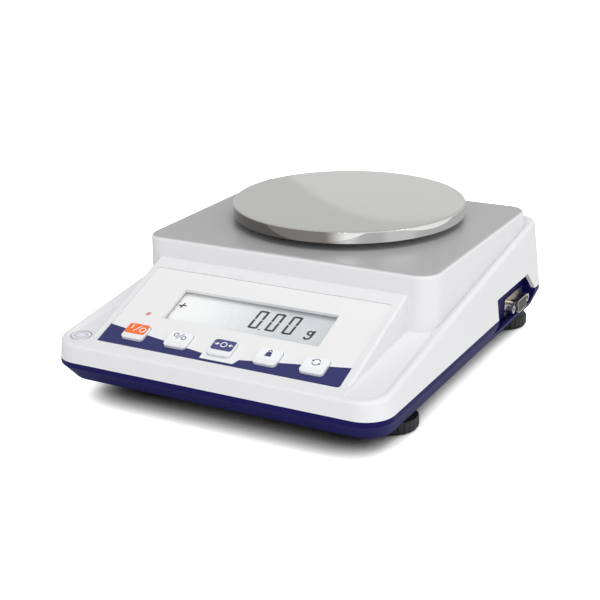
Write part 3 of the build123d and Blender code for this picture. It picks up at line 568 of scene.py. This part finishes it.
class Drawing:
    """Thin closed solids drawn in millimetres on a flat face."""

    def __init__(self, thickness: float = 0.03) -> None:
        """Start an empty drawing.

        Args:
            thickness: How far the ink stands above its face.
        """
        self.thickness = thickness
        self.mesh = bmesh.new()

    def add(self, strokes: Iterable[Stroke], at: Point = (0.0, 0.0)) -> None:
        """Draw strokes and give them their thickness.

        Args:
            strokes: The strokes.
            at: The point that they are measured from.
        """
        middle = Vector((*at, 0.0))
        for stroke in strokes:
            flat = stroke.faces(self.mesh, middle)
            made = bmesh.ops.extrude_face_region(self.mesh, geom=flat, use_keep_orig=True)
            tops = [item for item in made["geom"] if isinstance(item, bmesh.types.BMVert)]
            bmesh.ops.translate(self.mesh, verts=tops, vec=(0.0, 0.0, self.thickness))

    def piece(self, name: str, place: Matrix, material: bpy.types.Material) -> bpy.types.Object:
        """Finish the drawing as an object.

        Args:
            name: The piece's name.
            place: From drawing millimetres to the row frame.
            material: Its ink.

        Returns:
            The new object, at the origin.
        """
        bmesh.ops.transform(self.mesh, matrix=place, verts=self.mesh.verts)
        return make_piece(name, self.mesh, material)


def make_piece(name: str, mesh: bmesh.types.BMesh, material: bpy.types.Material) -> bpy.types.Object:
    """Turn a finished bmesh into a piece of the scene.

    Args:
        name: The piece's name.
        mesh: Its mesh in metres, freed here.
        material: Its finish.

    Returns:
        The object, at the origin.
    """
    bmesh.ops.recalc_face_normals(mesh, faces=mesh.faces)
    data = bpy.data.meshes.new(name)
    mesh.to_mesh(data)
    mesh.free()
    data.materials.append(material)
    made = bpy.data.objects.new(name, data)
    bpy.context.scene.collection.objects.link(made)
    return made


def dress(node: str, material: bpy.types.Material) -> None:
    """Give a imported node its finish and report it.

    Args:
        node: The node's name.
        material: Its finish.
    """
    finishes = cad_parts[node].data.materials
    finishes.clear()
    finishes.append(material)
    LOG.info("%s dressed in %s", node, material.name)


def settle(piece: bpy.types.Object, body: str) -> None:
    """Fix a new piece to its body and report it.

    Args:
        piece: The piece.
        body: The body that it rides on.
    """
    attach(piece, body)
    LOG.info("%s rides on %s with %d faces", piece.name, body, len(piece.data.polygons))


def panel_spot(nodes: Tree, place: Socket) -> bpy.types.Node:
    """Add the panel's own coordinates to a material.

    Args:
        nodes: The material's tree.
        place: The socket of Object coordinates.

    Returns:
        The group node, with the outputs Across, Down and Above.
    """
    spot = nodes.add("Group", node_tree=EFFECTS.panel_place())
    nodes.join(place, spot.inputs[0])
    return spot


@dataclass(frozen=True)
class SoftBox:
    """A square soft lamp: its place and aim in metres, its side in metres and its power in watts."""

    name: str
    at: Place
    aim: Place
    size: float
    power: float
    mirrored: bool = True

    def hang(self) -> None:
        """Hang the lamp at its place, facing its aim."""
        data = bpy.data.lights.new(self.name, "AREA")
        data.shape = "SQUARE"
        data.size = self.size
        data.energy = self.power
        made = bpy.data.objects.new(self.name, data)
        bpy.context.scene.collection.objects.link(made)
        made.location = self.at
        made.rotation_euler = (Vector(self.aim) - Vector(self.at)).to_track_quat("-Z", "Y").to_euler()
        made.visible_glossy = self.mirrored


@dataclass
class Studio:
    """Camera, floor and soft light of the picture."""

    camera_at: Place = (0.34082, -0.6529, 0.29809)
    right: Place = (0.8825, 0.470147, -0.012518)
    up: Place = (-0.147529, 0.301999, 0.941824)
    ahead: Place = (-0.446576, 0.829312, -0.335874)
    lens: float = 79.57
    sensor: float = 36.0
    clip: tuple[float, float] = (0.02, 60.0)
    floor_size: float = 12.0
    floor_cells: int = 8
    paper: Colour = (0.9, 0.9, 0.9)
    paper_roughness: float = 0.9
    paper_specular: float = 0.1
    paper_glow: float = 1.0
    mirrored_glow: float = 0.05
    painted_contact_shadow_colour: Colour = (0.0, 0.0, 0.0)
    contact_reach: float = 0.040
    contact_edge: tuple[float, float] = (0.35, 0.23)
    contact_samples: int = 32
    ambient: tuple[float, float] = (0.32, 0.74)
    mirrored: tuple[float, float] = (0.72, 0.78)
    bright_side: Place = (0.9, -0.3, 0.2)
    side_edge: tuple[float, float] = (0.0, 0.9)
    round_lamp: Place = (-0.3949, 0.9052, 0.1571)
    round_lamp_edge: tuple[float, float] = (0.99207, 0.0003)
    round_lamp_gain: float = 0.12
    lamps: tuple[SoftBox, ...] = (
        SoftBox("top soft box", (0.3, -0.15, 1.6), (0.0, 0.0, 0.04), 0.9, 8.0, mirrored=False),
        SoftBox("front soft box", (0.45, -1.5, 0.7), (0.0, 0.0, 0.04), 1.0, 5.6),
        SoftBox("right soft box", (1.4, -0.3, 0.35), (0.0, 0.0, 0.05), 0.8, 2.2),
    )

    def camera(self) -> None:
        """Set the camera at the photograph's viewing angle."""
        data = bpy.data.cameras.new("camera")
        data.lens = self.lens
        data.sensor_width = self.sensor
        data.clip_start, data.clip_end = self.clip
        made = bpy.data.objects.new("camera", data)
        bpy.context.scene.collection.objects.link(made)
        axes = Matrix((Vector(self.right), Vector(self.up), -Vector(self.ahead))).transposed()
        made.matrix_world = Matrix.Translation(self.camera_at) @ axes.to_4x4()
        bpy.context.scene.camera = made

    def floor(self) -> None:
        """Lay a plain pale floor that keeps the shadow, with a painted contact shadow close under the
        balance from ambient occlusion.
        """
        mesh = bmesh.new()
        cells = self.floor_cells
        bmesh.ops.create_grid(mesh, x_segments=cells, y_segments=cells, size=self.floor_size / 2)
        paper = bpy.data.materials.new("white paper")
        paper.use_nodes = True
        nodes = Tree(paper.node_tree)
        shader = nodes.add("BsdfPrincipled")
        contact = nodes.add("AmbientOcclusion", samples=self.contact_samples)
        contact.inputs["Distance"].default_value = self.contact_reach
        # Painted contact shadow: the occlusion mask darkens the floor's colour and glow under the
        # balance.
        open_share = nodes.step(contact.outputs["AO"], *self.contact_edge)
        colour = nodes.blend(open_share, self.painted_contact_shadow_colour, self.paper)
        nodes.join(colour, shader.inputs["Base Color"])
        shader.inputs["Roughness"].default_value = self.paper_roughness
        shader.inputs["Specular IOR Level"].default_value = self.paper_specular
        shader.inputs["Emission Color"].default_value = FULL_WHITE
        path = nodes.add("LightPath")
        glow = nodes.math("MULTIPLY", nodes.mirrored(path), self.mirrored_glow)
        glow = nodes.math("MULTIPLY_ADD", path.outputs["Is Camera Ray"], self.paper_glow, glow)
        nodes.join(nodes.math("MULTIPLY", glow, open_share), shader.inputs["Emission Strength"])
        end = nodes.add("OutputMaterial")
        nodes.join(shader.outputs[0], end.inputs["Surface"])
        make_piece("floor", mesh, paper)

    def world(self) -> None:
        """Set white all round for the eye, greyer in reflections and as a light."""
        world = bpy.data.worlds.new("studio")
        bpy.context.scene.world = world
        world.use_nodes = True
        nodes = Tree(world.node_tree)
        path = nodes.add("LightPath")
        direction = nodes.add("TexCoord").outputs["Generated"]
        lamp = nodes.step(nodes.facing(direction, self.round_lamp), *self.round_lamp_edge)
        lit_side = nodes.step(nodes.facing(direction, self.bright_side), *self.side_edge)
        seen_level = nodes.between(lit_side, self.mirrored)
        seen_level = nodes.math("MULTIPLY_ADD", lamp, self.round_lamp_gain, seen_level)
        seen_level = nodes.math("MAXIMUM", seen_level, path.outputs["Is Camera Ray"])
        seen = nodes.math("MAXIMUM", nodes.mirrored(path), path.outputs["Is Camera Ray"])
        level = nodes.add("Mix", data_type="FLOAT")
        nodes.join(seen, level.inputs[0])
        nodes.join(nodes.between(lit_side, self.ambient), level.inputs[2])
        nodes.join(seen_level, level.inputs[3])
        back = nodes.add("Background")
        back.inputs["Color"].default_value = FULL_WHITE
        nodes.join(level.outputs[0], back.inputs["Strength"])
        end = nodes.add("OutputWorld")
        nodes.join(back.outputs[0], end.inputs["Surface"])

    def build(self) -> None:
        """Set everything that isn't part of the balance."""
        self.camera()
        self.floor()
        self.world()
        for lamp in self.lamps:
            lamp.hang()
        bpy.context.scene.view_settings.view_transform = "Standard"
        LOG.info("studio set with %d lamps", len(self.lamps))


@dataclass
class Housing:
    """White top moulding and blue tray."""

    deck_level: float = 74.4
    deck_softness: float = 0.5
    deck_painted_shade: Colour = (0.41, 0.41, 0.415)
    white: Finish = Finish("white moulding", (0.80, 0.80, 0.815), 0.36, relief=0.05, clouding=0.02)
    blue: Finish = Finish(
        "blue moulding", (0.009, 0.007, 0.088), 0.45, relief=0.08, clouding=0.10, specular=0.08
    )

    def top_material(self) -> bpy.types.Material:
        """White moulding whose deck under the pan is painted a darker grey, as painted shade on the
        upward-facing top.

        Returns:
            The material.
        """
        material, nodes, place = self.white.start()
        parts = nodes.add("SeparateXYZ")
        nodes.join(place, parts.inputs[0])
        # Painted shade: above this height the deck is greyed in place of the shade on the upward-facing
        # top.
        deck_painted_shade = nodes.step(parts.outputs[2], self.deck_level * MM, self.deck_softness * MM)
        self.white.close(nodes, place, nodes.blend(deck_painted_shade, self.white.colour, self.deck_painted_shade))
        return material

    def build(self) -> None:
        """Dress the two mouldings."""
        dress("upper_housing", self.top_material())
        dress("base_tray", self.blue.material())


@dataclass
class FrontPanel:
    """Printed film, keys, display and lamp, in millimetres on the panel."""

    film: Finish = Finish(
        "printed film", (0.845, 0.845, 0.85), 0.42, relief=0.03, clouding=0.02, specular=0.3
    )
    navy: Colour = (0.024, 0.026, 0.13)
    left_edge: tuple[float, float, float] = (-75.8, 51.9, 0.1415)
    right_edge: tuple[float, float, float] = (10.5, 60.9, -0.1567)
    notch: tuple[float, float, float] = (-11.5, 8.7, 64.7)
    notch_lean: float = 0.55
    notch_softness: float = 0.1
    print_softness: float = 0.08
    cap: Finish = Finish("key", (0.84, 0.85, 0.86), 0.30, relief=0.03, clouding=0.02, coat=0.2)
    white_face: Colour = (0.90, 0.91, 0.92)
    orange_face: Colour = (0.93, 0.15, 0.009)
    navy_face: Colour = (0.05, 0.05, 0.20)
    face_middle: float = 53.4
    face_half: tuple[float, float] = (6.5, 4.6)
    face_radius: float = 1.6
    face_drop: float = 0.25
    face_softness: float = 0.05
    ground: Finish = Finish("display ground", (0.66, 0.69, 0.71), 0.28, relief=0.01, clouding=0.02)
    ground_painted_reflection: Colour = (0.95, 0.955, 0.96)
    painted_reflection_fade: tuple[float, float] = (8.0, 34.0)
    window: Finish = Finish(
        "clear window", (0.95, 0.96, 0.96), 0.08, relief=0.0, clouding=0.0, alpha=0.04
    )
    lens: Finish = Finish("lamp lens", (0.88, 0.60, 0.64), 0.3, glow=0.15)
    lamp_at: Point = (-59.0, 39.2)
    lamp_core: Colour = (0.85, 0.03, 0.08)
    lamp_core_edge: tuple[float, float] = (0.8, 0.35)

    def film_material(self) -> bpy.types.Material:
        """White film with the navy band along its low edge.

        Returns:
            The material.
        """
        material, nodes, place = self.film.start()
        spot = panel_spot(nodes, place)
        across, down = spot.outputs["Across"], spot.outputs["Down"]
        edges = []
        for x, height, slope in (self.left_edge, self.right_edge):
            edges.append(nodes.math("MULTIPLY_ADD", across, slope, height - slope * x))
        edge = nodes.math("MINIMUM", *edges)
        low, high, depth = self.notch
        to_foot = nodes.math("SUBTRACT", depth, down)
        right_side = nodes.math("MULTIPLY_ADD", to_foot, self.notch_lean, high)
        past_left = nodes.step(across, low, self.notch_softness)
        inside = nodes.math("MULTIPLY", past_left, nodes.math("LESS_THAN", across, right_side))
        edge = nodes.math("MULTIPLY_ADD", inside, nodes.math("SUBTRACT", depth, edge), edge)
        band = nodes.step(nodes.math("SUBTRACT", down, edge), 0.0, self.print_softness)
        self.film.close(nodes, place, nodes.blend(band, self.film.colour, self.navy))
        return material

    def key_material(self, key: Key, face: Colour) -> bpy.types.Material:
        """A white key cap with a rounded colour field on the upper part of its face.

        Args:
            key: The key.
            face: The colour of the field.

        Returns:
            The material.
        """
        cap = replace(self.cap, name=f"{key.value} key")
        material, nodes, place = cap.start()
        spot = panel_spot(nodes, place)
        across = nodes.math("SUBTRACT", spot.outputs["Across"], key.across)
        down = nodes.math("SUBTRACT", spot.outputs["Down"], self.face_middle)
        past = []
        for offset, half in zip((across, down), self.face_half):
            reach = nodes.math("SUBTRACT", nodes.math("ABSOLUTE", offset), half - self.face_radius)
            past.append(nodes.math("MAXIMUM", reach, 0.0))
        outside = nodes.step(nodes.distance(*past), self.face_radius, self.print_softness)
        top = nodes.step(spot.outputs["Above"], KEY_TOP - self.face_drop, self.face_softness)
        coloured = nodes.math("MULTIPLY", nodes.math("SUBTRACT", 1.0, outside), top)
        cap.close(nodes, place, nodes.blend(coloured, cap.colour, face))
        return material

    def display_material(self) -> bpy.types.Material:
        """Liquid crystal ground with a painted reflection that pales it towards its left end.

        Returns:
            The material.
        """
        material, nodes, place = self.ground.start()
        spot = panel_spot(nodes, place)
        leftward = nodes.math("MULTIPLY", spot.outputs["Across"], -1.0)
        # Painted reflection: the ground pales towards the left end in place of a reflection on the
        # window.
        painted_reflection = nodes.step(leftward, *self.painted_reflection_fade)
        self.ground.close(nodes, place, nodes.blend(painted_reflection, self.ground.colour, self.ground_painted_reflection))
        return material

    def lamp_material(self) -> bpy.types.Material:
        """Lit lamp: a red core in a pink lens.

        Returns:
            The material.
        """
        material, nodes, place = self.lens.start()
        spot = panel_spot(nodes, place)
        across = nodes.math("SUBTRACT", spot.outputs["Across"], self.lamp_at[0])
        down = nodes.math("SUBTRACT", spot.outputs["Down"], self.lamp_at[1])
        outside = nodes.step(nodes.distance(across, down), *self.lamp_core_edge)
        self.lens.close(nodes, place, nodes.blend(outside, self.lamp_core, self.lens.colour))
        return material

    def build(self) -> None:
        """Dress the panel's pieces."""
        dress("panel_film", self.film_material())
        faces = {Key.POWER: self.orange_face, Key.TARE: self.navy_face}
        for key in Key:
            dress(key.body, self.key_material(key, faces.get(key, self.white_face)))
        dress("lcd_glass", self.display_material())
        dress("display_window", self.window.material())
        dress("status_lamp", self.lamp_material())


@dataclass
class DisplayReading:
    """The reading 0.00 g with its sign, in millimetres across and up from the film's top edge."""

    depth: float = -3.7
    thickness: float = 0.04
    digit_size: tuple[float, float] = (5.9, 15.1)
    digit_lefts: tuple[float, ...] = (-0.73, 9.57, 19.87)
    digit_foot: float = -32.3
    slant: float = 1.1
    stroke: float = 1.4
    gap: float = 0.3
    point: Bar = Bar((6.17, -32.1), (7.17, -32.1), 1.0)
    plus: tuple[Bar, Bar] = (
        Bar((-48.53, -24.6), (-43.93, -23.8), 0.95),
        Bar((-46.63, -26.4), (-45.83, -22.0), 0.95),
    )
    gram_at: Point = (35.87, -28.1)
    gram: tuple[Stroke, ...] = (
        Arc((0.0, 0.0), 1.4, 1.2),
        Bar((2.0, 2.4), (1.5, -3.4), 1.25),
        Arc((-0.3, -3.2), 1.7, 1.2, 190.0, 170.0),
    )
    ink: Finish = Finish("display segments", (0.004, 0.004, 0.005), 0.6, specular=0.05)

    def _slanted(self, left: float, x: float, y: float) -> Point:
        """A point of a slanted digit, from its lower left corner."""
        return (left + x + y * self.slant / self.digit_size[1], self.digit_foot + y)

    def zero(self, left: float) -> list[Bar]:
        """The six lit segments of a zero.

        Args:
            left: Where the digit's foot begins.

        Returns:
            The segments.
        """
        wide, tall = self.digit_size
        inset = self.stroke / 2
        runs = [((inset + self.gap, y), (wide - inset - self.gap, y)) for y in (inset, tall - inset)]
        for x in (inset, wide - inset):
            runs.append(((x, self.gap), (x, tall / 2 - self.gap)))
            runs.append(((x, tall / 2 + self.gap), (x, tall - self.gap)))
        return [
            Bar(self._slanted(left, *start), self._slanted(left, *end), self.stroke)
            for start, end in runs
        ]

    def build(self) -> None:
        """Draw the reading on the face of the display."""
        drawing = Drawing(self.thickness)
        for left in self.digit_lefts:
            drawing.add(self.zero(left))
        drawing.add((self.point, *self.plus))
        drawing.add(self.gram, self.gram_at)
        made = drawing.piece("display_reading", PANEL.place(self.depth), self.ink.material())
        settle(made, "chassis")


@dataclass
class KeySigns:
    """A plain sign on each key, in millimetres from the middle of the key's face."""

    middle_up: float = -53.5
    dark: Finish = Finish("key ink", (0.05, 0.05, 0.16), 0.5)
    painted_reflection: Finish = Finish("pale ink", (0.88, 0.88, 0.9), 0.5)
    power: tuple[Stroke, ...] = (
        Bar((-3.6, 2.4), (-3.6, -0.6), 0.7),
        Bar((-1.6, -2.4), (1.6, 2.4), 0.6),
        Arc((3.6, -0.6), 1.7, 0.6),
    )
    unit: tuple[Stroke, ...] = (
        Arc((-2.6, 0.8), 1.3, 0.5),
        Bar((-1.6, -2.2), (1.6, 2.2), 0.5),
        Arc((2.6, -0.8), 1.3, 0.5),
    )
    tare: tuple[Stroke, ...] = (
        Arc((0.0, 0.0), 1.7, 0.6),
        Bar((-5.6, 0.0), (-3.9, 0.0), 0.55),
        Patch(((-2.7, 0.0), (-4.3, 1.2), (-4.3, -1.2))),
        Bar((5.6, 0.0), (3.9, 0.0), 0.55),
        Patch(((2.7, 0.0), (4.3, 1.2), (4.3, -1.2))),
    )
    calibrate: tuple[Stroke, ...] = (
        Patch(((-1.9, -2.4), (1.9, -2.4), (1.5, 0.7), (-1.5, 0.7))),
        Arc((0.0, 1.6), 0.85, 0.6),
    )
    turn_starts: tuple[float, float] = (20.0, 200.0)
    turn_sweep: float = 130.0
    turn_radius: float = 2.2
    turn_width: float = 0.5
    head_length: float = 1.2
    head_half: float = 0.9

    def turning_arrow(self, start: float) -> tuple[Arc, Patch]:
        """A curved arrow round the middle of the key.

        Args:
            start: Where it begins, in degrees from the across axis.

        Returns:
            Its shaft and its head.
        """
        angle = math.radians(start + self.turn_sweep)
        off = Vector((math.cos(angle), math.sin(angle)))
        along = Vector((-math.sin(angle), math.cos(angle)))
        base = off * self.turn_radius
        tip = base + along * self.head_length
        side = off * self.head_half
        shaft = Arc((0.0, 0.0), self.turn_radius, self.turn_width, start, self.turn_sweep)
        return shaft, Patch((tuple(tip), tuple(base - side), tuple(base + side)))

    def sign(self, key: Key, strokes: Iterable[Stroke], ink: bpy.types.Material) -> None:
        """Draw one sign on its key.

        Args:
            key: The key, which carries the sign.
            strokes: The sign's strokes.
            ink: Its finish.
        """
        drawing = Drawing()
        drawing.add(strokes, (key.across, self.middle_up))
        settle(drawing.piece(f"{key.value}_sign", PANEL.place(KEY_TOP), ink), key.body)

    def build(self) -> None:
        """Draw the five signs."""
        dark = self.dark.material()
        painted_reflection = self.painted_reflection.material()
        arrows = [stroke for start in self.turn_starts for stroke in self.turning_arrow(start)]
        self.sign(Key.POWER, self.power, painted_reflection)
        self.sign(Key.UNIT, self.unit, dark)
        self.sign(Key.TARE, self.tare, painted_reflection)
        self.sign(Key.CALIBRATE, self.calibrate, dark)
        self.sign(Key.CONVERT, arrows, dark)


@dataclass
class WeighingPan:
    """Brushed steel pan with its turned-down rim."""

    rim_low: float = 85.7
    rim_softness: float = 0.3
    painted_light_split_at: float = 24.0
    painted_light_split_softness: float = 7.0
    rim_painted_shade: Colour = (0.20, 0.19, 0.18)
    rim_painted_highlight: Colour = (0.86, 0.86, 0.85)
    steel: Finish = Finish(
        "brushed pan steel",
        (0.60, 0.598, 0.585),
        roughness=0.030,
        metallic=1.0,
        surface=Surface.BRUSHED,
        grain=1100.0,
        relief=0.001,
        clouding=0.03,
        spread=0.008,
        streak=0.12,
    )

    def material(self) -> bpy.types.Material:
        """Brushed steel on the plate, and a rim painted in place of its reflections: a painted
        highlight on its right side and painted shade on its left.

        Returns:
            The material.
        """
        material, nodes, place = self.steel.start()
        parts = nodes.add("SeparateXYZ")
        nodes.join(place, parts.inputs[0])
        plate = nodes.step(parts.outputs[2], self.rim_low * MM, self.rim_softness * MM)
        # Painted light: left of this X the rim takes painted shade, right of it a painted highlight.
        painted_highlight_side = nodes.step(parts.outputs[0], self.painted_light_split_at * MM, self.painted_light_split_softness * MM)
        rim_painted_light = nodes.blend(painted_highlight_side, self.rim_painted_shade, self.rim_painted_highlight)
        self.steel.close(nodes, place, nodes.blend(plate, rim_painted_light, self.steel.colour))
        return material

    def build(self) -> None:
        """Dress the pan."""
        dress("weighing_pan", self.material())


@dataclass
class BubbleLevel:
    """Rings on the window of the level in the left front corner, in millimetres."""

    centre: Point = (-88.0, -110.7)
    radii: tuple[float, ...] = (5.75, 3.35)
    ring_width: float = 0.45
    thickness: float = 0.02
    ink: Finish = Finish("level ring ink", (0.26, 0.23, 0.34), 0.4)

    def build(self) -> None:
        """Draw the rings."""
        rings = Drawing(self.thickness)
        rings.add(Arc((0.0, 0.0), radius, self.ring_width) for radius in self.radii)
        x, y = self.centre
        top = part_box("level_vial")[1][2]
        place = Matrix.Translation((x * MM, y * MM, top)) @ Matrix.Scale(MM, 4)
        settle(rings.piece("level_rings", place, self.ink.material()), "chassis")


@dataclass
class Insides:
    """Plain but real finishes for the pieces inside, behind and below."""

    feet: tuple[str, ...] = ("front_left", "front_right", "rear_left", "rear_right")
    aluminium: Finish = Finish(
        "milled aluminium",
        (0.70, 0.71, 0.72),
        roughness=0.34,
        metallic=1.0,
        surface=Surface.BRUSHED,
        grain=2600.0,
        relief=0.12,
        clouding=0.05,
    )
    zinc: Finish = Finish(
        "zinc plate", (0.62, 0.62, 0.64), 0.30, metallic=1.0, grain=1800.0, relief=0.05, clouding=0.10
    )
    brass: Finish = Finish(
        "turned brass",
        (0.72, 0.52, 0.22),
        roughness=0.28,
        metallic=1.0,
        surface=Surface.BRUSHED,
        grain=2600.0,
        relief=0.08,
        clouding=0.06,
    )
    rubber: Finish = Finish("black rubber", (0.022, 0.022, 0.022), 0.72, relief=0.25, clouding=0.2)
    nylon: Finish = Finish("black nylon", (0.020, 0.020, 0.022), 0.42, relief=0.15, clouding=0.15)
    black: Finish = Finish("black plastic", (0.028, 0.028, 0.03), 0.40, relief=0.1, clouding=0.1)
    white: Finish = Finish("white plastic", (0.80, 0.80, 0.78), 0.42)
    board: Finish = Finish("green circuit board", (0.02, 0.16, 0.06), 0.35, grain=600.0, clouding=0.35)
    tin: Finish = Finish(
        "tinned can", (0.68, 0.68, 0.67), 0.24, metallic=1.0, grain=1200.0, relief=0.05, clouding=0.12
    )
    shell: Finish = Finish(
        "plated shell", (0.66, 0.62, 0.55), 0.24, metallic=1.0, grain=1500.0, relief=0.05, clouding=0.12
    )
    sheath: Finish = Finish("grey sheath", (0.32, 0.32, 0.34), 0.5)
    liquid: Finish = Finish("level liquid", (0.80, 0.83, 0.92), 0.10, relief=0.0, coat=0.3)

    def pieces(self) -> dict[Finish, tuple[str, ...]]:
        """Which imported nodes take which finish.

        Returns:
            The nodes' names by finish.
        """
        return {
            self.aluminium: ("pan_support", "carrier_bridge", "load_cell", "cell_fixed_spacer"),
            self.zinc: (
                "support_screw",
                "cell_base_plate",
                "cell_fixed_screws",
                "cell_free_screws",
                "overload_stops",
                "base_plate_screws",
                "board_screws",
                "housing_screws",
                "serial_jackscrews",
                *(f"{foot}_foot_stud" for foot in self.feet),
            ),
            self.brass: ("foot_inserts", "serial_pins"),
            self.rubber: ("pan_buffers", *(f"{foot}_foot_pad" for foot in self.feet)),
            self.nylon: tuple(f"{foot}_foot_knob" for foot in self.feet),
            self.black: ("key_switches", "serial_insulator", "power_jack", "processor_chip", "buzzer"),
            self.white: (
                "strain_gauges",
                "lcd_holder",
                "level_cup",
                "board_headers",
                *(f"{key.value}_plunger" for key in Key),
            ),
            self.board: ("main_board", "display_board"),
            self.tin: ("analog_shield",),
            self.shell: ("serial_shell",),
            self.sheath: ("internal_leads",),
            self.liquid: ("level_vial",),
        }

    def build(self) -> None:
        """Dress every node that no other class takes."""
        for finish, nodes in self.pieces().items():
            material = finish.material()
            for node in nodes:
                dress(node, material)


def main() -> None:
    """Build the studio and every sub-assembly in order."""
    logging.basicConfig(level=logging.INFO, format="%(name)s: %(message)s")
    parts = (Studio, Housing, FrontPanel, DisplayReading, KeySigns, WeighingPan, BubbleLevel, Insides)
    for part in parts:
        part().build()


if __name__ == "__main__":
    main()
